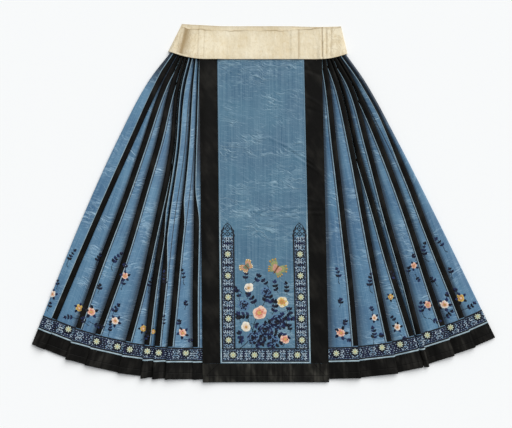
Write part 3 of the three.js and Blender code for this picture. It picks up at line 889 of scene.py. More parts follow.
def ribbon_silk(name, pitch=STAR_PITCH, rings=False, pointed=False):
    """Woven ribbon: dark navy ground, dark edges, pale scrolls. Its pointed end is open tracery on silk."""
    f = Finish(name)
    x, y = f.across_and_along()
    along = (x * 1000).repeat(pitch)
    across = abs(y * 1000 - RIBBON / 2)
    edge = across > RIBBON / 2 - SELVEDGE
    inner_line = abs(across - (RIBBON / 2 - SELVEDGE - 0.9)) < 0.6
    sway = f.noise(x * 150, y * 150, 1, 2, 0.5, 4.0) - 0.5
    curl_x, curl_y = along + sway * 4.0, across - sway * 3.0
    scroll = None
    for cx, cy, wide, turns in SCROLLS:
        dx, dy = curl_x - cx, curl_y - cy
        distance = (dx * dx + dy * dy) ** 0.5
        turned = dy.angle(dx) * (turns / (2 * math.pi))
        coil = abs((distance / SCROLL_PITCH - turned).fraction() - 0.5) > 0.37
        part = coil * (distance < wide)
        scroll = part if scroll is None else scroll.most(part)
    leaf = ((curl_x * 0.55 + curl_y * 0.36).sine() * (curl_y * 0.7 - curl_x * 0.31).sine()).ramp(0.74, 0.82)
    pale = scroll.most(leaf)
    round_place = (along * along + across * across) ** 0.5
    if rings:
        pale = pale * (round_place > 12.2)
    shade = f.noise(x * 90, y * 90, 1, 2, 0.5)
    ground = f.mix(shade.ramp(0.3, 0.7), rgb(4, 8, 25), rgb(10, 22, 60))
    tone = f.mix(pale * 0.9, ground, f.mix(shade.ramp(0.4, 0.6), rgb(128, 162, 190), rgb(192, 212, 222)))
    if rings:
        tone = f.mix((abs(round_place - 11.6) < 0.6) * 0.75, tone, rgb(134, 164, 190))
    tone = f.mix(inner_line * 0.35, tone, rgb(104, 134, 166))
    tone = f.mix(edge, tone, rgb(7, 9, 16))
    if pointed:
        open_end = x > (RIBBON_TOP - MEDALLION_Y) * MM
        knots = ((x * 1000).repeat(14.0) ** 2 + across.repeat(14.0) ** 2) ** 0.5
        tracery = (f.value("rim") > 0.76).most(abs(knots - 5.2) < 1.3).most(knots < 1.9)
        lattice = f.mix(tracery, rgb(88, 128, 154), rgb(9, 14, 28))
        tone = f.mix(open_end, tone, lattice)
    weave = (x * 4200).sine() * (y * 4200).sine()
    height = weave * 0.3 + pale * 1.2
    return f.finish(tone, 0.6, height, 0.0003, 0.8, sheen(0.05, rgb(200, 210, 235), 0.3))


RIM_GLEAM = (1.25, 1.25, 1.25, 1.0)  # how much paler a petal is at its rim


def stitched_silk():
    """Floss embroidery: each petal has its own tint, deeper at its foot and paler at its rim."""
    f = Finish("embroidery silk")
    x, y = f.across_and_along()
    tint = f.tint("tint")
    thread = (y * 40 + x * 3).sine()
    tone = f.mix((1 - x) ** 2 * 0.45, tint, rgb(206, 140, 128), "MULTIPLY")
    tone = f.mix((thread * 0.5 + 0.5) * 0.2, tone, rgb(120, 120, 140), "MULTIPLY")
    tone = f.mix(abs(y).ramp(0.6, 1.0) * 0.6, tone, RIM_GLEAM, "MULTIPLY")
    return f.finish(tone, 0.45, thread, 0.00012, 0.7, sheen(0.03, rgb(255, 255, 255), 0.25))


MEDALLION_Y = -250.0  # height of one flower of the side ribbons, from which the others are spaced
MEDALLION_X = -24.0  # the same along the ribbon at the hem
HEM_MIDDLE = (PANEL_LEFT[1] + PANEL_RIGHT[1]) / 2
CORNER_SEAM = 177.0  # place of the mitred seams of the panel's lower corners
STITCH_ROW = 17.0  # height of the row of stitches on a hem band
SIDE_PITCH = 38.0  # length after which the pattern of the pleats' ribbons starts again

# Where the panel's crinkles gather, as height above its hem and spread: under the waist and at old folds.
PANEL_PRESSED = ((0.85, 0.055), (0.45, 0.035), (0.61, 0.02))
SILK_PANEL = blue_silk(
    "panel silk",
    rgb(61, 106, 132),
    rgb(158, 190, 206),
    rgb(49, 92, 121),
    lively=0.85,
    pressed_at=PANEL_PRESSED,
)
SILK_GORE = blue_silk(
    "gore silk",
    rgb(76, 121, 152),
    rgb(166, 200, 222),
    rgb(50, 94, 130),
    # colour of the shade painted beside the folds and under the waist
    painted_shade=rgb(16, 26, 40),
    edge_lines=True,
    lively=1.35,
)
SILK_PLAIN = blue_silk("plain silk", rgb(78, 114, 142), rgb(134, 168, 190), rgb(64, 100, 130))
SATIN = black_satin("black satin")
SATIN_HEM = black_satin("black satin hem", (19, 18, 16), STITCH_ROW)
SATIN_CORNER = black_satin("black satin corners", (36, 35, 31), STITCH_ROW, CORNER_SEAM)
PIPING_STRIP = pale_piping(
    "strip piping", (122, 148, 162), (156, 180, 192), dull=0.4, dull_from=0.1, dull_to=0.4
)
PIPING_PANEL = pale_piping(
    "panel piping", (136, 162, 176), (172, 194, 202), dull=0.85, dull_from=0.38, dull_to=0.47
)
PIPING_SILK = pale_piping("hem piping", (134, 158, 170), (170, 190, 198))
COTTON_CLOTH = cotton()
RIBBON_FRONT = ribbon_silk("front ribbon", rings=True, pointed=True)
RIBBON_HEM = ribbon_silk("front hem ribbon", rings=True)
RIBBON_SIDE = ribbon_silk("pleat ribbon", SIDE_PITCH)
FLOSS = stitched_silk()


# Attaching pieces to the skirt


front_cloth = []  # the cloths to which embroidery can be sewn
sewn_on = {}  # what is sewn on a cloth, by the cloth's name


def dress(piece, nodes=(), front=True):
    """The piece rides with the skirt and stands for its solids, which are hidden; a front piece can take
    embroidery.
    """
    if nodes:
        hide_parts(*nodes)
    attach(piece, "root")
    if front:
        front_cloth.append(piece)


def trim(piece, cloth, nodes=()):
    """The piece is piping or embroidery, and is sewn on a cloth."""
    if nodes:
        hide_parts(*nodes)
    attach(piece, "root")
    sewn_on.setdefault(cloth, []).append(piece)


# Pleats

GORE_ROWS = 170
STRIP_RISE = 0.75  # how far a strip's face lies above its gore's
PATTERN_STEP = (0.37, 0.11)  # metres by which the weave of a gore, and of a strip, is moved on each time
PLAIN = 200.0  # a gore without a strip lies this far along the cloth's pattern, clear of the edge lines

# Half widths of the pipings on the strips, above the hem bands and on the panel.
STRIP_CORD = 1.1
HEM_CORD = 1.9
FRONT_CORD = 1.6
CORD_IN = 1.3  # how far the first lies inside its strip's edge


def black_strip(side, k, number, share, points, columns, turned):
    """The strip on a gore's fold. Gives back the path of its piping, and the normals there."""
    first, last = columns if turned else (columns[0], columns[1] - 1)
    rows = share < RIBBON_FROM - 0.001
    n = normals_of(points)[rows]
    points = points[rows]
    part = points[:, first:last] + n[:, first:last] * STRIP_RISE
    across = arc_lengths(part)
    down = (share[rows] * LENGTH)[:, None] + 0 * across
    uv = np.stack([across * MM + PATTERN_STEP[1] * k, down * MM], axis=2)
    name = f"strip_{side.label}_{number}"
    made = shell("satin_" + name, part, uv, SATIN, THIN)
    dress(made, [name])
    edge, inward = (last - 1, 1) if turned else (first, -1)
    step = points[:, edge + inward] - points[:, edge]
    step /= np.maximum(np.linalg.norm(step, axis=1, keepdims=True), 1e-6)
    return points[:, edge] + step * CORD_IN, n[:, edge]


def pleated_side(side):
    """The gores of a side, the black strips on their folds, and the piping on each strip."""
    share = np.linspace(0, RIBBON_FROM + 0.003, GORE_ROWS)
    pipings = []
    for k in range(1, len(side.lines)):
        points, strip, painted_shade = gore_points(side, k, share)
        lengths = arc_lengths(points)
        turned = side.lines[k - 1][0] == "turned"
        if strip:
            fold = strip[0] if turned else strip[1] - 4
            inside = (lengths - lengths[:, fold : fold + 1]) * (1 if turned else -1)
        else:
            inside = lengths + PLAIN
        v = np.repeat((share * LENGTH)[:, None], points.shape[1], axis=1)
        uv = np.stack([inside * MM, v * MM + PATTERN_STEP[0] * k], axis=2)
        name = f"gore_{side.label}_{k}"
        # the shade painted on each point goes to the material
        made = shell("silk_" + name, points, uv, SILK_GORE, values={"painted_shade": painted_shade})
        dress(made, [name])
        if strip:
            number = len(pipings) + 1
            pipings.append(black_strip(side, k, number, share, points, strip, turned))
    made = cord_ridge(f"strip_piping_{side.label}", pipings, STRIP_CORD, PIPING_STRIP)
    trim(made, f"satin_strip_{side.label}_1")


def hem_rows(side, start, end, count):
    """The bands that run across every gore of a side: one grid over all the folds."""
    share = np.linspace(start, end, count)
    grids, drops = [], []
    for k in range(1, len(side.lines)):
        u, z, weight, _ = gore_grid(side, k, share)
        grids.append((u, z))
        drops.append(hem_drop(side, k, share, weight))
    u = np.concatenate([g[0] for g in grids], axis=1)
    z = np.concatenate([g[1] for g in grids], axis=1)
    over = free(z)
    points = side.place(share, u, z + side.flutes(share, u) * over, FRONT_Z, np.concatenate(drops, axis=1))
    return share, creased(points, over)


HEM_RISE = 0.35  # how far a hem band's face lies above the gores'
HEM_BAND = 45.0  # width of the black band
CORD_RISE = 0.1  # how far the middle of the piping lies above the cloth
CROWDED = 0.2  # points of the piping that are closer than this are left out


def hem_bands(side):
    """The ribbon, the piping and the black band that run along the hem of a side."""
    bands = (
        ("hem_ribbon", RIBBON_FROM, PIPING_FROM, 14, RIBBON_SIDE, "navy_ribbon", RIBBON),
        ("hem_band", BAND_FROM, 1.0, 12, SATIN_HEM, "black_satin", HEM_BAND),
    )
    for name, start, end, count, material, slot, wide in bands:
        share, points = hem_rows(side, start, end, count)
        n = normals_of(points)
        points = points + n * HEM_RISE
        lengths = arc_lengths(points)[count // 2]
        u = np.repeat(lengths[None, :], count, axis=0)
        v = np.repeat(((end - share) / (end - start) * wide)[:, None], points.shape[1], axis=1)
        uv = np.stack([u, v], axis=2) * MM
        made = shell(f"{name}_{side.label}_cloth", points, uv, material, SHELL)
        node = f"{name}_{side.label}"
        dress(made, [node])
    share, points = hem_rows(side, PIPING_FROM, BAND_FROM, 3)
    n = normals_of(points)
    path = points[1] + n[1] * CORD_RISE
    keep = np.concatenate([[True], np.linalg.norm(np.diff(path, axis=0), axis=1) > CROWDED])
    node = f"hem_piping_{side.label}"
    made = cord_ridge(node + "_cord", [(path[keep], n[1][keep])], HEM_CORD, PIPING_SILK, flat=0.6)
    trim(made, f"hem_band_{side.label}_cloth", [node])


# Front panel


def down_panel(y):
    """Share of the way down the panel."""
    return (PANEL_TOP - y) / (PANEL_TOP - PANEL_LOW)


def panel_left(y):
    return PANEL_LEFT[0] + down_panel(y) * (PANEL_LEFT[1] - PANEL_LEFT[0])


def panel_right(y):
    return PANEL_RIGHT[0] + down_panel(y) * (PANEL_RIGHT[1] - PANEL_RIGHT[0])


def from_left(inside):
    """An edge line that runs a distance inside the panel's left edge."""

    def edge(y):
        return panel_left(y) + inside

    return edge


def from_right(inside):
    """An edge line that runs a distance inside the panel's right edge."""

    def edge(y):
        return panel_right(y) - inside

    return edge


def panel_over(x, y):
    """Upper face of the panel's silk: it comes down from its raised left edge across the border."""
    fall = np.clip((x - panel_left(y) - LIFTED) / (BORDER - LIFTED), 0, 1)
    return FRONT_Z + LIE + PANEL_RISE * (1 - eased(fall)) + SILK


def between(left, right, high, low, columns, rows):
    """The x and y of a grid between a left and a right edge."""
    y = np.repeat(np.linspace(high, low, rows)[:, None], columns, axis=1)
    t = np.repeat(np.linspace(0, 1, columns)[None, :], rows, axis=0)
    return left(y) + t * (right(y) - left(y)), y


def on_panel(x, y, lift=0.0):
    """Places on the panel, with its creases, as points at a height above its face."""
    return np.stack([x, y, panel_over(x, y) + lift + lie(x, y)], axis=-1)


def panel_piece(name, edges, high, low, grid, lift, material, thickness=SHELL):
    """A piece that lies on the panel between a left and a right edge."""
    x, y = between(*edges, high, low, *grid)
    points = on_panel(x, y, lift)
    uv = np.stack([x - HEM_MIDDLE, y - PANEL_LOW], axis=2) * MM
    return shell(name, points, uv, material, thickness), points


# Columns and rows of the front panel's cloth, of its side borders and of the one along the hem.
PANEL_GRID = (100, 270)
BORDER_GRID = (22, 220)
HEM_BORDER_GRID = (110, 20)
SEWN_RISE = 1.0  # how far the face of a border lies above the panel's
SATIN_THICK = 0.9
BORDER_TOP = PANEL_LOW + BORDER_HEM  # upper edge of the border along the hem


def front_panel():
    piece, points = panel_piece(
        "silk_front_panel", (panel_left, panel_right), PANEL_TOP, PANEL_LOW + 1, PANEL_GRID, 0, SILK_PANEL
    )
    dress(piece, ["front_panel"])
    outer_left, outer_right = from_left(-WRAP), from_right(-WRAP)
    on_side = (PANEL_TOP, BORDER_TOP + WRAP, BORDER_GRID, SATIN, (BORDER + 1, PANEL_TOP - BORDER_TOP))
    on_hem = (BORDER_TOP, PANEL_LOW, HEM_BORDER_GRID, SATIN_CORNER, (337, BORDER_HEM))
    borders = (
        ("left", (outer_left, from_left(BORDER)), on_side),
        ("right", (from_right(BORDER), outer_right), on_side),
        ("hem", (outer_left, outer_right), on_hem),
    )
    for label, edges, (high, low, grid, satin, size) in borders:
        name = f"satin_front_border_{label}"
        piece, points = panel_piece(name, edges, high, low, grid, SEWN_RISE, satin, SATIN_THICK)
        dress(piece, [f"front_border_{label}"])


def front_pipings():
    """The piping along the inner edges of the front borders."""
    inside = BORDER + SEAM + PIPING / 2
    foot = BORDER_TOP + SEAM + PIPING / 2
    left, right = from_left(inside), from_right(inside)
    y = np.linspace(PANEL_TOP, foot, 200)
    x = np.linspace(left(foot), right(foot), 90)
    paths = (
        ("left", left(y), y, PIPING_PANEL),
        ("right", right(y), y, PIPING_PANEL),
        ("hem", x, 0 * x + foot, PIPING_SILK),
    )
    for label, x, y, material in paths:
        normals = np.tile([0.0, 0.0, 1.0], (len(y), 1))
        node = f"front_piping_{label}"
        made = cord_ridge(node + "_cord", [(on_panel(x, y), normals)], FRONT_CORD, material, flat=0.7)
        trim(made, "silk_front_panel", [node])


# Outline of a side ribbon's pointed end: share of its length, half width as a share of the ribbon's.
CROWN = (
    (0.0, 0.06),
    (0.12, 0.2),
    (0.22, 0.42),
    (0.34, 0.62),
    (0.46, 0.74),
    (0.56, 0.94),
    (0.66, 0.98),
    (0.74, 0.88),
    (0.84, 1.06),
    (0.94, 1.08),
    (1.0, 1.0),
)
RIBBON_RISE = 0.8  # how far a ribbon's face lies above the panel's
RIBBON_IN = BORDER + SEAM + PIPING + SEAM  # from the panel's edge to the ribbon
RIBBON_LOW = BORDER_TOP + SEAM + PIPING + SEAM  # lower edge of the ribbon along the hem


def front_ribbons():
    high = RIBBON_LOW + RIBBON
    top = RIBBON_TOP + RIBBON_POINT
    straight = np.linspace(RIBBON_TOP, high - 2, 120)
    pointed = np.linspace(top, RIBBON_TOP, 34)
    half = np.interp((top - pointed) / RIBBON_POINT, *np.transpose(CROWN)) * RIBBON / 2
    ys = np.concatenate([pointed[:-1], straight])
    halves = np.concatenate([half[:-1], 0 * straight + RIBBON / 2])
    t = np.linspace(-1, 1, 13)[None, :]
    y = np.repeat(ys[:, None], t.size, axis=1)
    middle = RIBBON_IN + RIBBON / 2
    for label, centre in (("left", from_left(middle)), ("right", from_right(middle))):
        x = centre(ys)[:, None] + halves[:, None] * t
        points = on_panel(x, y, RIBBON_RISE)
        uv = np.stack([y - MEDALLION_Y, RIBBON / 2 + halves[:, None] * t + 0 * x], axis=2) * MM
        rim = {"rim": np.abs(t) + 0 * x}
        made = shell(f"ribbon_front_{label}", points, uv, RIBBON_FRONT, THIN, values=rim)
        dress(made, [f"front_ribbon_{label}"])
    x, y = between(from_left(RIBBON_IN), from_right(RIBBON_IN), high, RIBBON_LOW, 90, 10)
    points = on_panel(x, y, RIBBON_RISE)
    uv = np.stack([x - MEDALLION_X, y - RIBBON_LOW], axis=2) * MM
    made = shell("ribbon_front_hem", points, uv, RIBBON_HEM, THIN)
    dress(made, ["front_ribbon_hem"])


# Waistband

BAND_LEFT, BAND_RIGHT = BAND[0][0], BAND[-1][0]


def band_columns(low_x):
    """The waistband's columns at places along its lower edge."""
    table = np.array(BAND, float)
    return [np.interp(low_x, table[:, 0], table[:, i]) for i in range(5)]


def waist_lie(x, y, foot):
    """Puckers of the waistband, with how much shade is painted in its pressed folds: upright ripples,
    stronger low down.
    """
    low = np.exp(-(((y - foot) / 34.0) ** 2))
    ripples = 0.16 * np.sin(x * 0.42 + 2.7 * np.sin(x * 0.05)) * (0.3 + low)
    ripples += 0.16 * np.sin(x * 0.17 + 2.0 * np.sin(x * 0.031 + y * 0.03) + 2)
    folds, dark = 0.0, 0.0
    for fx, lean, half, rise, depth in BAND_FOLDS:
        hump = np.exp(-(((x - fx - lean * (y - foot)) / half) ** 2))
        folds = folds + rise * hump
        dark = dark + depth * hump
    return ripples + folds, dark


# Pressed folds of the waistband: x at its foot, lean, half width, height, darkness of the shade painted in
# it.
BAND_FOLDS = (
    (-229, 0.2, 2.0, 1.6, 0.3),
    (-222, 0.25, 6.0, -1.8, 0.85),
    (-211, 0.2, 9.0, -0.9, 0.5),
    (-186, 0.12, 3.0, 0.7, 0.0),
    (-176, 0.05, 1.6, -0.7, 0.3),
    (-160, 0.05, 1.5, -0.6, 0.25),
    (94.5, 0.0, 1.5, -0.6, 0.5),
    (155.6, 0.0, 1.5, -1.8, 0.9),
    (160, 0.0, 2.6, 1.4, 0.0),
    (166, 0.02, 1.5, -0.9, 0.5),
    (171, 0.02, 2.4, 1.0, 0.0),
    (178, 0.04, 2.0, -0.9, 0.35),
    (-40, 0.1, 6.0, 0.6, 0.0),
    (38, -0.05, 7.0, 0.5, 0.0),
)


BAND_COLUMN = 1.6  # width of one column of the waistband's grid
BAND_ROWS = 56
LAP_EASE = 6.0  # over this width the upper length rises on the lower one


def band_piece(name, first, last, lapped, node):
    """One length of the waistband's front, with puckers, pressed folds, and painted shade in the folds and
    along its edges.
    """
    columns = int((last - first) / BAND_COLUMN)
    low = np.linspace(first, last, columns)
    low, high, front, _, over = band_columns(low)
    foot = band_low(low)
    share = np.linspace(0, 1, BAND_ROWS)
    rise = np.interp(share, [0, 0.1, 0.85, 1], [1, 1, 0.04, 0])
    rise = np.convolve(np.pad(rise, 4, mode="edge"), np.ones(9) / 9, mode="valid")
    flat = COTTON_BACK + SEAM
    top = front + 0.9 * np.sin(low * 0.09) + 0.6 * np.sin(low * 0.23 + 1)
    x = low[None, :] + share[:, None] * (high - low)[None, :]
    y = foot[None, :] + share[:, None] * (top - foot)[None, :]
    on_other = np.clip((low - (BAND_LAP_X - BAND_LAP) + LAP_EASE) / LAP_EASE, 0, 1)
    lift = (COTTON + SEAM) * on_other if lapped else 0 * low
    z = flat + (over - flat)[None, :] * rise[:, None] + lift[None, :] + COTTON
    puckers, dark = waist_lie(x, y, foot[None, :])
    z = z + puckers * (0.3 + 0.7 * rise[:, None] ** 0.5) * np.clip((over[None, :] - 1.5) / 8, 0.15, 1)
    # painted shade: a shadow line along the upper edge, a fainter one along the foot, and one along a lapping
    # end
    edge_shade = np.exp(-(((share[:, None] - 0.985) / 0.02) ** 2)) * (0.55 + 0.35 * np.sin(low * 0.06)[None, :])
    edge_shade += 0.25 * np.exp(-((share[:, None] / 0.02) ** 2))
    if lapped:
        edge_shade = edge_shade + 0.7 * np.exp(-(((last - low[None, :]) / 1.4) ** 2)) * (1 + 0 * share[:, None])
    points = np.stack([x, y, np.maximum(z, flat + 0.5)], axis=2)
    uv = np.stack([x, y], axis=2) * MM
    painted_shade = np.clip(dark * (share[:, None] > 0.06) + edge_shade, 0, 1)
    made = shell(name, points, uv, COTTON_CLOTH, 1.3, values={"painted_shade": painted_shade})
    dress(made, [node])


def waistband():
    start = BAND_LAP_X - BAND_LAP
    band_piece("cotton_waistband_left_cloth", BAND_LEFT, BAND_LAP_X, True, "waistband_front_left")
    band_piece("cotton_waistband_right_cloth", start, BAND_RIGHT, False, "waistband_front_right")
    low = np.linspace(BAND_LEFT, BAND_RIGHT, 160)
    low, high, _, back, _ = band_columns(low)
    foot = band_low(low) + SEAM
    share = np.linspace(0, 1, 20)
    x = low[None, :] + share[:, None] * (high - low)[None, :]
    y = foot[None, :] + share[:, None] * (back - foot)[None, :]
    z = COTTON_BACK + 0.25 * np.sin(x * 0.11) * np.clip((share[:, None] - 0.7) / 0.3, 0, 1)
    points = np.stack([x, y, z], axis=2)
    uv = np.stack([x, y], axis=2) * MM
    # painted shade: a little over the whole back length, more along its upper edge
    painted_shade = 0.08 + 0.3 * (share[:, None] > 0.96) + 0 * x
    made = shell("cotton_waistband_back", points, uv, COTTON_CLOTH, 1.1, values={"painted_shade": painted_shade})
    dress(made, ["waistband_back"], front=False)


# Under panel and back


def flat_piece(name, edges, high, low, outer, thickness, material, grid, up=False):
    """A cloth that lies flat at one height; a cloth of the back has its outer face below."""
    x, y = between(*edges, high, low, *grid)
    points = np.stack([x, y, outer + 0 * x], axis=2)
    uv = np.stack([x, y], axis=2) * MM
    return shell(name, points, uv, material, thickness, up), points


def under_left(y):
    return 0 * y - UNDER_LEFT + SEAM


UNDER_FACE = FRONT_Z + 1.1  # height of the under panel's face
UNDER_LOW = -465.0  # its lower edge


def under_panel():
    edges = (under_left, from_right(UNDER_LAP + SEAM))
    piece, points = flat_piece(
        "under_silk", edges, PANEL_TOP, UNDER_LOW, UNDER_FACE, BACK_THICK, SILK_PLAIN, (20, 60), up=True
    )
    dress(piece, ["under_panel"], front=False)


BACK_TOP = BAND_LOW - SEAM
BACK_LOW = -465.5
BACK_Z = 0.1  # the back's outer face lies this far above the floor


def back_edge(sign, inside=0.0):
    """An edge line of the back panel, to the left (-1) or the right (1), or a line inside it."""

    def edge(y):
        down = (BACK_TOP - y) / (BACK_TOP - BACK_LOW)
        return sign * (BACK_PANEL[0] + down * (BACK_PANEL[1] - BACK_PANEL[0]) - inside)

    return edge


def back():
    hem_top = BACK_LOW + BORDER_HEM
    left_edge, left_seam = back_edge(-1), back_edge(-1, BORDER)
    right_edge, right_seam = back_edge(1), back_edge(1, BORDER)
    size = (BORDER + 1, BACK_TOP - hem_top)
    silk = ("blue_silk", SILK_PANEL, (40, 90))
    satin = ("black_satin", SATIN, (16, 60))
    parts = (
        ("back_silk", "back_panel", (left_seam, right_seam), BACK_TOP, hem_top, (242, 797), silk),
        ("back_satin_left", "back_border_left", (left_edge, left_seam), BACK_TOP, hem_top, size, satin),
        ("back_satin_right", "back_border_right", (right_seam, right_edge), BACK_TOP, hem_top, size, satin),
        ("back_satin_hem", "back_border_hem", (left_edge, right_edge), hem_top, BACK_LOW, (336, 50), satin),
    )
    for name, node, edges, high, low, size, (slot, material, grid) in parts:
        piece, points = flat_piece(name, edges, high, low, BACK_Z, 1.0, material, grid)
        dress(piece, [node], front=False)
    for side in (RIGHT, LEFT):
        back_pleats(side)


def back_section(side, share):
    """Columns of the back's pleats on one side, from the back panel out: distance out and height."""
    half = BACK_PANEL[0] + share * (BACK_PANEL[1] - BACK_PANEL[0])
    edge = side.out(len(side.lines) - 1, share)
    pitch = (edge - half) / (BACK_FOLDS + 1)
    depth = np.minimum(BACK_DEPTH, pitch * BACK_TURNED)
    r = (SILK + LIE) / 2
    zero = 0 * share
    columns = [(half - BACK_LAP, zero + LIE), (half + 0.5, zero + LIE), (half + 3.5, zero)]
    before = half + 3.5
    for k in range(1, BACK_FOLDS + 1):
        b = half + k * pitch
        for t in (0.3, 0.6, 0.85):
            columns.append((before + t * (b - r - before), zero))
        for degrees in (0, 45, 90, 135, 180):
            a = math.radians(degrees)
            columns.append((b - r + r * math.sin(a), zero + r - r * math.cos(a)))
        columns += [(b - depth, zero + 2 * r), (b - depth, zero + 2 * LIE)]
        columns += [(b + 1, zero + 2 * LIE), (b + 3, zero)]
        before = b + 3
    for t in (0.4, 0.8, 1.0):
        columns.append((before + t * (edge - 0.5 - before), zero))
    return np.stack([c[0] for c in columns], axis=1), np.stack([c[1] for c in columns], axis=1)


def back_pleats(side):
    parts = (
        ("back_silk_pleats", 0.007, RIBBON_FROM, 60, SILK_PLAIN, "blue_silk", "back_pleats", 0),
        ("back_ribbon", RIBBON_FROM, PIPING_FROM, 6, RIBBON_SIDE, "navy_ribbon", None, RIBBON),
        ("back_satin_band", BAND_FROM, 1.0, 8, SATIN_HEM, "black_satin", "back_hem_band", HEM_BAND),
    )
    for name, start, end, count, material, slot, node, wide in parts:
        share = np.linspace(start, end, count)
        u, z = back_section(side, share)
        points = side.place(share, u, z, BACK_Z)
        lengths = arc_lengths(points)
        middle = np.repeat(lengths[count // 2][None, :], count, axis=0)
        height = (share * LENGTH) if not wide else (end - share) / (end - start) * wide
        v = np.repeat(height[:, None], u.shape[1], axis=1)
        uv = np.stack([middle, v], axis=2) * MM
        made = shell(f"{name}_{side.label}", points, uv, material, BACK_THICK, up=False)
        nodes = [f"{node}_{side.label}"] if node else []
        dress(made, nodes, front=False)
    share = np.linspace(PIPING_FROM, BAND_FROM, 3)
    u, z = back_section(side, share)
    points = side.place(share, u, z, BACK_Z)
    name = f"back_piping_{side.label}"
    made = shell(name, points, points[..., :2] * MM, PIPING_SILK, BACK_THICK, up=False)
    trim(made, f"back_satin_band_{side.label}")


# Embroidery


PINK = (232, 168, 144)
ROSE = (214, 128, 112)
BLUSH = (240, 208, 186)
CREAM = (238, 226, 198)
WHITE = (240, 236, 222)
GOLD = (196, 158, 84)
YELLOW = (220, 190, 108)
ORANGE = (214, 140, 92)
NAVY = (12, 20, 52)
INK = (6, 10, 28)
DUSK = (26, 40, 84)
PALE_BLUE = (88, 124, 158)
SAGE = (118, 136, 112)
MOSS = (150, 158, 106)
SHELL_PINK = (206, 158, 138)
STAR = (212, 222, 200)
STAR_DEEP = (146, 172, 132)
STAR_HEART = (222, 214, 150)
STAR_GROUND = (8, 12, 30)
BROWN = (120, 84, 50)

# Stitches of each piece of embroidery, by the shape that they are made of.
stitches = {
    ("panel", "petal"): [],
    ("panel", "leaf"): [],
    ("pleats", "petal"): [],
    ("pleats", "leaf"): [],
    ("ribbons", "petal"): [],
}
PLURAL = {"petal": "petals", "leaf": "leaves"}
SEWN_TO = {"panel": "silk_front_panel", "pleats": "silk_gore_right_1", "ribbons": "ribbon_front_left"}
dice = np.random.default_rng(7)

# Rings of a dark flower: petals, reach and breadth as shares of its width, colour.
DARK_RINGS = ((7, 0.54, 0.4, NAVY), (5, 0.36, 0.34, NAVY), (3, 0.2, 0.24, INK))
OUTLINE = 2.4  # how much wider than a petal its outline is


def stitch(group, kind, x, y, angle, length, width, colour, lift=0.0):
    """Notes one petal or leaf, to be sewn when all the cloth is there."""
    stitches[(group, kind)].append((x, y, angle, length, width, colour, lift))


def bloom(group, x, y, size, colours, turn=0.0, count=7, squash=0.82):
    """A full flower seen a little from one side: rings of broad petals round a gold heart."""
    rings = (
        (0.52, 0.44, colours[0], 0.0),
        (0.42, 0.36, colours[1], 0.2),
        (0.3, 0.28, colours[2], 0.4),
        (0.18, 0.16, colours[3], 0.6),
    )
    for ring, (reach, broad, tint, lift) in enumerate(rings):
        number = count - (ring > 1)
        for i in range(number):
            a = turn + ring * 0.45 + i * 2 * math.pi / number + dice.uniform(-0.12, 0.12)
            stretch = 1 + 0.16 * math.cos(a - turn)
            length = size * reach * stretch * dice.uniform(0.92, 1.06)
            flat = squash + (1 - squash) * abs(math.cos(a - turn))
            stitch(group, "petal", x, y, a, length * flat, size * broad * dice.uniform(0.9, 1.08), tint, lift)


def leaf(group, x, y, angle, length, colour=None, wide=0.66):
    tint = colour or (NAVY, INK, DUSK)[int(dice.integers(0, 3))]
    stitch(group, "leaf", x, y, angle, length, length * wide, tint, dice.uniform(0, 0.3))


def stem(group, x, y, angle, length, bend=0.0, colour=INK, width=1.5):
    """A line of short stitches; gives back where it ends and which way it points."""
    steps = max(2, int(length / 4))
    for _ in range(steps):
        stitch(group, "leaf", x, y, angle, length / steps * 1.35, width, colour)
        x += length / steps * math.cos(angle)
        y += length / steps * math.sin(angle)
        angle += bend / steps
    return x, y, angle


def spray(group, x, y, angle, length, bend=0.6, pairs=3, size=9.0):
    """A curved stem with leaves to both sides and one at its end."""
    for i in range(pairs):
        x, y, angle = stem(group, x, y, angle, length / pairs, bend / pairs)
        for turn in (0.85, -0.85):
            reach = size * (1 - 0.12 * i) * dice.uniform(0.8, 1.1)
            leaf(group, x, y, angle + turn + dice.uniform(-0.2, 0.2), reach)
    leaf(group, x, y, angle, size * 0.9)


def dark_bloom(group, x, y, size, turn=0.0):
    """A navy flower of curled petals, each ring with a thin pale outline."""
    for ring, (count, reach, broad, tint) in enumerate(DARK_RINGS):
        for i in range(count):
            a = turn + ring * 0.4 + i * 2 * math.pi / count
            px = x + size * 0.05 * math.cos(a)
            py = y + size * 0.05 * math.sin(a)
            length = size * reach * dice.uniform(0.9, 1.08)
            stitch(group, "petal", px, py, a, length + OUTLINE, size * broad + OUTLINE, PALE_BLUE, 0.5 * ring)
            stitch(group, "petal", px, py, a, length, size * broad, tint, 0.5 * ring + 0.25)


def star(group, x, y, size=16.5, backed=True):
    """A ribbon flower on a dark ground: eight pale petals, shorter ones between, and a small heart."""
    if backed:
        for i in range(8):
            stitch(group, "petal", x, y, i * math.pi / 4 + 0.2, size * 0.72, size * 0.6, STAR_GROUND, 0.5)
    for i in range(8):
        stitch(group, "petal", x, y, i * math.pi / 4, size * 0.52, size * 0.24, STAR, 0.9)
    for i in range(8):
        stitch(group, "petal", x, y, (i + 0.5) * math.pi / 4, size * 0.4, size * 0.2, STAR_DEEP, 0.8)
    for i in range(5):
        stitch(group, "petal", x, y, i * 2 * math.pi / 5, size * 0.18, size * 0.16, STAR_HEART, 1.2)


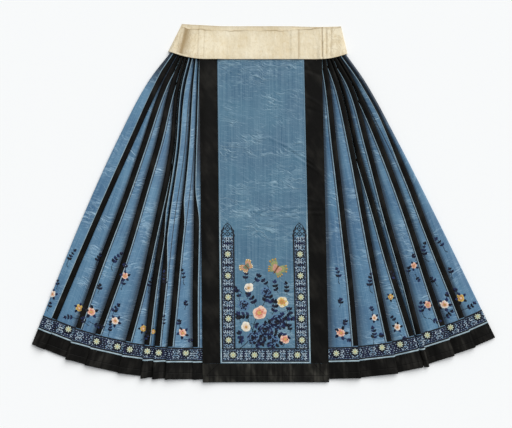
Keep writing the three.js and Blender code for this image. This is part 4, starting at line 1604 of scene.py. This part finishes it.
def butterfly(x, y, size, angle, colours):
    """Two broad and two small wings in layers, a slim body and two feelers."""
    first, second, third, spot = colours
    wings = ((0.95, 0.54, 0.36), (2.05, 0.38, 0.3))
    for side in (1, -1):
        for turn, reach, broad in wings:
            a = angle + side * turn
            for share, tint, lift in ((1.0, first, 0.0), (0.8, second, 0.3), (0.56, third, 0.55)):
                stitch("panel", "petal", x, y, a, size * reach * share, size * broad * share, tint, lift)
            for spread in (-0.3, 0.0, 0.3):
                px = x + size * reach * 0.78 * math.cos(a + spread)
                py = y + size * reach * 0.78 * math.sin(a + spread)
                stitch("panel", "petal", px, py, a + spread, size * 0.11, size * 0.07, spot, 0.75)
            for spread in (-0.22, 0.22):
                stitch("panel", "leaf", x, y, a + spread, size * reach * 0.9, 1.0, GOLD, 0.7)
        stem("panel", x, y, angle + side * 0.3, size * 0.4, side * 0.9, INK, 1.2)
    for i in range(4):
        back = size * (0.24 - 0.1 * i)
        px = x - back * math.cos(angle)
        py = y - back * math.sin(angle)
        stitch("panel", "petal", px, py, angle, size * 0.15, size * 0.075, BROWN, 0.9)


def panel_embroidery():
    """The panel's lower part: a branch of full blooms among dark leaves, and two butterflies above it."""
    peach = (BLUSH, PINK, ROSE, YELLOW)
    cream = (CREAM, YELLOW, ORANGE, GOLD)
    white = (WHITE, CREAM, BLUSH, GOLD)
    x, y, angle = stem("panel", -64, -386, 0.5, 60, 0.9, INK, 2.2)
    x, y, angle = stem("panel", x, y, angle, 66, -0.4, INK, 2.0)
    stem("panel", x, y, angle, 60, 0.5, INK, 1.7)
    stem("panel", -18, -352, 2.3, 66, -0.7, INK, 1.8)
    stem("panel", 6, -318, 0.2, 56, 0.5, INK, 1.7)
    for x, y, angle, length, bend, pairs, size in PANEL_SPRAYS:
        spray("panel", x, y, angle, length, bend, pairs, size * 1.12)
    for x, y, size, turn in PANEL_DARK_BLOOMS:
        dark_bloom("panel", x, y, size, turn)
    bloom("panel", -12, -292, 38, peach, 0.3, 8)
    bloom("panel", 48, -262, 31, cream, -0.4, 7)
    bloom("panel", -40, -226, 25, white, 0.9, 6)
    bloom("panel", -46, -330, 27, white, 2.0, 7)
    bloom("panel", 58, -362, 26, peach, 2.6, 7)
    butterfly(34, -176, 56, 1.0, (SAGE, MOSS, SHELL_PINK, GOLD))
    butterfly(-44, -170, 40, 2.3, (GOLD, SHELL_PINK, SAGE, CREAM))


def pleat_embroidery():
    """Small flowers and leaf sprigs on the gores, each in its own cloth."""
    peach = (BLUSH, PINK, ROSE, YELLOW)
    pale = (WHITE, BLUSH, PINK, GOLD)
    gold = (YELLOW, GOLD, ORANGE, CREAM)
    for x, y, angle, length, bend, pairs, size in PLEAT_SPRIGS:
        spray("pleats", x, y, angle, length * 1.1, bend, pairs + 1, size * 1.35)
        stem("pleats", x, y, angle + math.pi, length * 0.4, 1.4, INK, 1.6)
    for x, y, size, colours in PLEAT_FLOWERS:
        for i in range(5):
            a = size + i * 2 * math.pi / 5
            px = x + size * 0.32 * math.cos(a)
            py = y + size * 0.32 * math.sin(a)
            leaf("pleats", px, py, a + 0.3, size * 0.5)
        tints = {"peach": peach, "pale": pale, "gold": gold}[colours]
        bloom("pleats", x, y, size, tints, 0.1 * size, 6, 0.72)


# Leaf sprays of the panel: x, y of the foot, direction, length, bend, pairs of leaves, leaf length.
PANEL_SPRAYS = (
    (-30, -370, 0.0, 40, -0.3, 3, 12),
    (-58, -378, 1.6, 30, 0.3, 2, 12),
    (-22, -352, -0.4, 34, 0.6, 3, 12),
    (-2, -332, 0.9, 30, -0.8, 3, 12),
    (8, -306, -0.6, 40, 0.9, 3, 13),
    (10, -318, -1.5, 40, 0.4, 3, 12),
    (22, -298, 1.1, 34, 0.4, 3, 12),
    (30, -274, 2.2, 36, -0.5, 3, 11),
    (34, -338, -0.9, 34, 0.7, 3, 12),
    (44, -334, 0.5, 30, 0.8, 2, 12),
    (62, -322, 1.8, 26, 0.5, 2, 11),
    (60, -278, -1.2, 30, 0.4, 2, 12),
    (62, -246, 1.5, 30, 0.3, 3, 10),
    (40, -240, 2.2, 30, -0.7, 3, 10),
    (-28, -300, 2.9, 34, 0.5, 3, 12),
    (-20, -276, 1.9, 34, 0.5, 3, 11),
    (0, -270, 1.2, 30, 0.4, 3, 11),
    (-44, -256, 1.2, 26, 0.6, 2, 11),
    (-64, -262, 1.6, 26, 0.3, 2, 10),
    (-56, -240, 2.4, 18, 0.4, 1, 10),
    (-30, -214, 0.6, 24, 0.6, 2, 10),
    (-46, -210, 1.8, 20, -0.5, 2, 9),
    (-62, -320, 1.6, 24, 0.4, 2, 11),
    (-60, -342, -1.8, 22, 0.5, 2, 11),
    (-34, -320, -0.2, 24, -0.5, 2, 11),
    (10, -386, 0.2, 36, 0.4, 3, 11),
    (-30, -388, 0.4, 24, 0.4, 2, 10),
    (50, -382, 0.9, 16, 0.4, 1, 10),
    (44, -352, 2.6, 20, 0.5, 2, 11),
    (70, -346, 1.4, 18, 0.5, 2, 9),
    (12, -224, 1.9, 20, 0.6, 2, 9),
    (66, -298, 1.2, 14, 0.5, 1, 10),
    (20, -330, -0.2, 30, 0.5, 3, 11),
    (-36, -350, 0.2, 26, 0.5, 2, 11),
    (-34, -384, 1.1, 22, 0.6, 2, 11),
    (30, -384, 1.9, 22, -0.6, 2, 11),
)

# Dark flowers of the panel: x, y, width, turn.
PANEL_DARK_BLOOMS = (
    (36, -316, 34, 0.2),
    (4, -338, 34, 0.7),
    (-28, -358, 26, 0.3),
    (-52, -272, 24, 0.5),
    (6, -236, 20, 0.9),
    (26, -366, 22, 0.1),
)

# Flowers of the gores: x, y, width, colours.
PLEAT_FLOWERS = (
    (206, -345, 25, "peach"),
    (294, -305, 17, "pale"),
    (337, -250, 16, "gold"),
    (355, -330, 19, "pale"),
    (399, -167, 17, "peach"),
    (436, -271, 20, "peach"),
    (481, -270, 25, "pale"),
    (524, -253, 22, "gold"),
    (-214, -345, 22, "peach"),
    (-293, -342, 14, "gold"),
    (-319, -334, 18, "gold"),
    (-367, -194, 19, "peach"),
    (-393, -313, 22, "pale"),
    (-456, -289, 24, "peach"),
    (-489, -280, 20, "gold"),
    (-560, -242, 20, "pale"),
)

# Sprigs of the gores: x, y of the foot, direction, length, bend, pairs of leaves, leaf length.
PLEAT_SPRIGS = (
    (199, -205, 1.5, 26, 0.5, 2, 7),
    (203, -272, 1.1, 12, 0.8, 1, 8),
    (212, -330, 1.0, 14, 0.6, 1, 7),
    (218, -360, -0.6, 9, 0.4, 1, 6),
    (282, -228, 1.7, 34, -0.5, 3, 8),
    (290, -292, 1.7, 12, 0.3, 1, 6),
    (292, -366, 1.4, 30, 0.5, 3, 8),
    (300, -352, 0.3, 12, -0.5, 1, 7),
    (350, -318, 1.9, 14, 0.4, 1, 6),
    (366, -352, -0.9, 10, 0.5, 1, 6),
    (386, -190, 1.8, 14, -0.4, 1, 6),
    (352, -208, 1.9, 24, 0.5, 2, 7),
    (402, -150, 1.8, 10, 0.3, 1, 6),
    (404, -192, -1.2, 12, 0.4, 1, 6),
    (424, -298, 2.0, 28, -0.5, 2, 8),
    (444, -308, -0.6, 20, 0.8, 2, 7),
    (430, -146, 1.9, 34, -0.6, 3, 7),
    (458, -216, 2.0, 16, 0.5, 1, 7),
    (478, -306, 0.4, 24, 0.7, 2, 7),
    (484, -252, 1.1, 9, 0.3, 1, 7),
    (480, -123, 2.0, 30, 0.5, 2, 7),
    (500, -194, 1.6, 16, 0.6, 1, 7),
    (514, -238, 2.0, 8, 0.3, 1, 6),
    (534, -282, 0.3, 26, 0.6, 2, 7),
    (-212, -208, 1.5, 26, 0.4, 2, 6),
    (-208, -278, 1.2, 12, 0.6, 1, 7),
    (-222, -328, 1.9, 12, -0.4, 1, 7),
    (-206, -362, -0.4, 12, 0.5, 1, 6),
    (-264, -222, 1.4, 34, 0.3, 3, 7),
    (-268, -330, 1.3, 26, 0.4, 2, 6),
    (-306, -230, 1.4, 26, -0.3, 2, 6),
    (-322, -362, 0.4, 14, 0.5, 1, 6),
    (-366, -176, 1.4, 10, 0.4, 1, 7),
    (-376, -224, 1.1, 16, 0.6, 1, 7),
    (-400, -296, 1.2, 24, -0.4, 2, 8),
    (-410, -346, 1.2, 20, 0.5, 2, 6),
    (-402, -166, 1.2, 34, -0.6, 3, 8),
    (-438, -236, 1.1, 14, 0.5, 1, 8),
    (-456, -318, -0.6, 26, 0.6, 2, 7),
    (-468, -322, 2.4, 16, -0.6, 1, 7),
    (-444, -160, 1.3, 20, -0.4, 2, 7),
    (-500, -306, 2.8, 22, 0.5, 2, 7),
    (-520, -158, 1.2, 32, -0.4, 3, 7),
    (-548, -224, 1.3, 14, 0.4, 1, 6),
    (-572, -282, 1.0, 14, 0.4, 1, 6),
)


STAR_CLEAR = 10.0  # how far a flower's middle keeps from a fold, inside it
STAR_HIDDEN = 8.0  # how far outside a fold it would still be hidden


def clear_of_folds(x):
    """Moves the middle of a round flower off a fold of the ribbon, to the inner side where it lies open."""
    side = RIGHT if x > 0 else LEFT
    share = np.array([(RIBBON_FROM + PIPING_FROM) / 2])
    for k in range(1, len(side.lines)):
        fold = float(side.out(k, share)[0])
        if -STAR_CLEAR < abs(x) - fold < STAR_HIDDEN:
            return side.sign * (fold - STAR_CLEAR)
    return x


def ribbon_flowers():
    """The pale round flowers of every ribbon."""
    for i in range(-2, 3):
        y = MEDALLION_Y + i * STAR_PITCH
        middle = BORDER + SEAM + PIPING + SEAM + RIBBON / 2
        star("ribbons", panel_left(y) + middle, y)
        star("ribbons", panel_right(y) - middle, y)
    foot = PANEL_LOW + BORDER_HEM + 2 * SEAM + PIPING + RIBBON / 2
    for i in (-1, 0, 1, 2):
        star("ribbons", MEDALLION_X + i * STAR_PITCH, foot)
    for x, y in SIDE_STARS:
        star("ribbons", clear_of_folds(x), y)


# Round flowers of the pleats' ribbons.
SIDE_STARS = (
    (193, -399),
    (254, -394),
    (314, -383),
    (362, -375),
    (435, -351),
    (496, -330),
    (568, -301),
    (-206, -398),
    (-278, -397),
    (-315, -393),
    (-355, -388),
    (-388, -381),
    (-443, -367),
    (-518, -335),
)


def petal_mesh(kind):
    """One stitched petal or leaf of unit length along X, domed; a petal is broad at its end."""
    rows, columns = 8, 5
    t = 1 - (1 - np.linspace(0, 1, rows)) ** 1.5
    if kind == "petal":
        half = t**0.75 * np.maximum(1 - t, 0) ** 0.42
    else:
        half = np.sin(np.pi * t**0.85) ** 0.9
    half = np.maximum(half / half.max(), 0.02) * 0.5
    across = np.linspace(-1, 1, columns)
    vertices, uv = [], []
    for i in range(rows):
        for j in range(columns):
            dome = (1 - across[j] ** 2) * math.sin(math.pi * min(max(t[i], 0.02), 0.98)) ** 0.5
            vertices.append((t[i], half[i] * across[j], dome))
            uv.append((t[i], across[j]))
    at = np.arange(rows * columns).reshape(rows, columns)
    return mesh_object(kind, np.array(vertices) / MM, grid_faces(at), np.array(uv), FLOSS, 180)


def setter_tree(petal):
    """Sets the petal on every point, turned and sized by the point's own values."""
    tree = bpy.data.node_groups.new("sew petals", "GeometryNodeTree")
    tree.interface.new_socket("Points", in_out="INPUT", socket_type="NodeSocketGeometry")
    tree.interface.new_socket("Sewn", in_out="OUTPUT", socket_type="NodeSocketGeometry")
    nodes, link = tree.nodes, tree.links.new
    start = nodes.new("NodeGroupInput")
    end = nodes.new("NodeGroupOutput")
    source = nodes.new("GeometryNodeObjectInfo")
    source.inputs["Object"].default_value = petal
    source.transform_space = "ORIGINAL"
    points = nodes.new("GeometryNodeMeshToPoints")
    put = nodes.new("GeometryNodeInstanceOnPoints")
    for name, use in (("turn", "Rotation"), ("measure", "Scale")):
        value = nodes.new("GeometryNodeInputNamedAttribute")
        value.data_type = "FLOAT_VECTOR"
        value.inputs["Name"].default_value = name
        link(value.outputs[0], put.inputs[use])
    real = nodes.new("GeometryNodeRealizeInstances")
    paint = nodes.new("GeometryNodeSetMaterial")
    paint.inputs["Material"].default_value = FLOSS
    link(start.outputs["Points"], points.inputs["Mesh"])
    link(points.outputs[0], put.inputs["Points"])
    link(source.outputs["Geometry"], put.inputs["Instance"])
    link(put.outputs[0], real.inputs[0])
    link(real.outputs[0], paint.inputs["Geometry"])
    link(paint.outputs[0], end.inputs[0])
    return tree


def sewing_ground():
    """All the front's cloth as one surface to sew on."""
    vertices, faces = [], []
    base = 0
    for piece in front_cloth:
        mesh = piece.data
        co = np.empty(len(mesh.vertices) * 3, np.float32)
        mesh.vertices.foreach_get("co", co)
        index = np.empty(len(mesh.loops), np.int32)
        mesh.loops.foreach_get("vertex_index", index)
        vertices.append(co.reshape(-1, 3))
        faces.append(index.reshape(-1, 4) + base)
        base += len(mesh.vertices)
    return BVHTree.FromPolygons(np.concatenate(vertices).tolist(), np.concatenate(faces).tolist())


ABOVE = 0.05  # metres above the floor, clear of all the cloth
STEEPEST = 0.4  # no stitch is set where less than this share of the cloth's normal points up
FLOSS_BASE = 0.3  # height of the lowest stitches over the cloth
FLOSS_LAYER = 0.6  # and of each layer over the last
FLOSS_HEIGHT = 0.45  # how high one stitch is domed


def sewn_points(group, kind, ground):
    """The stitches of one piece as points on the cloth, with the turn, measure and tint of each."""
    places, turns, measures, tints = [], [], [], []
    for x, y, angle, length, width, colour, lift in stitches[(group, kind)]:
        middle_x = (x + length / 2 * math.cos(angle)) * MM
        middle_y = (y + length / 2 * math.sin(angle)) * MM
        spot, normal, _, _ = ground.ray_cast(Vector((middle_x, middle_y, ABOVE)), Vector((0, 0, -1)))
        if spot is None or normal.z < STEEPEST:
            continue
        along = Vector((math.cos(angle), math.sin(angle), 0))
        along = (along - normal * along.dot(normal)).normalized()
        side = normal.cross(along)
        axes = Matrix([[along[i], side[i], normal[i]] for i in range(3)])
        over = (FLOSS_BASE + lift * FLOSS_LAYER) * MM
        places.append(tuple(spot - along * (length / 2 * MM) + normal * over))
        turns.append(tuple(axes.to_euler()))
        measures.append((length * MM, width * MM, FLOSS_HEIGHT * MM * min(1.0, width / 4 + 0.4)))
        tints.append(rgb(*colour)[:3])
    mesh = bpy.data.meshes.new("points of " + group)
    mesh.from_pydata(places, [], [])
    for name, rows in (("turn", turns), ("measure", measures), ("tint", tints)):
        layer = mesh.attributes.new(name, "FLOAT_VECTOR", "POINT")
        layer.data.foreach_set("vector", np.array(rows, np.float32).ravel())
    host = bpy.data.objects.new("points of " + group, mesh)
    bpy.context.collection.objects.link(host)
    return host


def sew():
    """Makes one piece of all the petals, and one of all the leaves, of each part of the embroidery."""
    ground = sewing_ground()
    for kind in ("petal", "leaf"):
        shape = petal_mesh(kind)
        tree = setter_tree(shape)
        for group, which in stitches:
            if which != kind:
                continue
            host = sewn_points(group, kind, ground)
            modifier = host.modifiers.new("sew", "NODES")
            modifier.node_group = tree
            bpy.context.view_layer.update()
            whole = host.evaluated_get(bpy.context.evaluated_depsgraph_get())
            result = bpy.data.meshes.new_from_object(whole)
            bpy.data.objects.remove(host)
            piece = bpy.data.objects.new(f"embroidered_{PLURAL[kind]}_{group}", result)
            bpy.context.collection.objects.link(piece)
            trim(piece, SEWN_TO[group])
        bpy.data.objects.remove(shape)


# Floor, light and camera


def floor():
    f = Finish("pale floor")
    where = f.node("ShaderNodeTexCoord")
    grain = f.wire(f.node("ShaderNodeTexNoise", None, {"Vector": f.wire(where, 3), "Scale": 3.0}))
    tone = f.mix(grain * 0.05, rgb(248, 249, 250), rgb(243, 244, 246))
    material = f.finish(tone, 0.9)
    half = 6000.0
    corners = np.array([[-half, half, 0], [half, half, 0], [-half, -half, 0], [half, -half, 0]])
    made = mesh_object("floor", corners, np.array([[0, 2, 3, 1]]), corners[:, :2] * MM, material)


ROOM_LIGHT = 0.41
WINDOW_LIGHT = 2.62
WINDOW_SPREAD = 58  # degrees
WINDOW_RAYS = (-0.5, -0.8, -1.0)  # the way the light falls


def studio():
    """A bright soft room, and a broad light from the upper right."""
    world = bpy.data.worlds.new("soft room")
    bpy.context.scene.world = world
    world.use_nodes = True
    air = world.node_tree.nodes["Background"].inputs
    air["Color"].default_value = (0.96, 0.985, 1.0, 1)
    air["Strength"].default_value = ROOM_LIGHT
    key = bpy.data.lights.new("window", "SUN")
    key.energy = WINDOW_LIGHT
    key.angle = math.radians(WINDOW_SPREAD)
    key.color = (1.0, 0.995, 0.98)
    made = bpy.data.objects.new("window", key)
    made.rotation_euler = Vector(WINDOW_RAYS).to_track_quat("-Z", "Y").to_euler()
    bpy.context.collection.objects.link(made)
    bpy.context.scene.view_settings.view_transform = "Standard"


# The photograph is 512 by 428, and one of its pixels is 2.66 mm at the skirt.
PICTURE = (512, 428)
PIXEL = 2.66
PICTURE_CENTRE = (-20.0, -29.3)
CAMERA_HEIGHT = 3.4


def camera():
    """Looks straight down, with a lens that gives the photograph's scale."""
    lens = bpy.data.cameras.new("camera")
    lens.sensor_width = 36
    lens.lens = 36 * CAMERA_HEIGHT / (PICTURE[0] * PIXEL * MM)
    lens.clip_end = 50
    made = bpy.data.objects.new("camera", lens)
    made.location = (PICTURE_CENTRE[0] * MM, PICTURE_CENTRE[1] * MM, CAMERA_HEIGHT)
    bpy.context.collection.objects.link(made)
    bpy.context.scene.camera = made


camera()
floor()
studio()
back()
under_panel()
for side in (RIGHT, LEFT):
    pleated_side(side)
    hem_bands(side)
front_panel()
front_pipings()
front_ribbons()
waistband()
panel_embroidery()
pleat_embroidery()
ribbon_flowers()
sew()
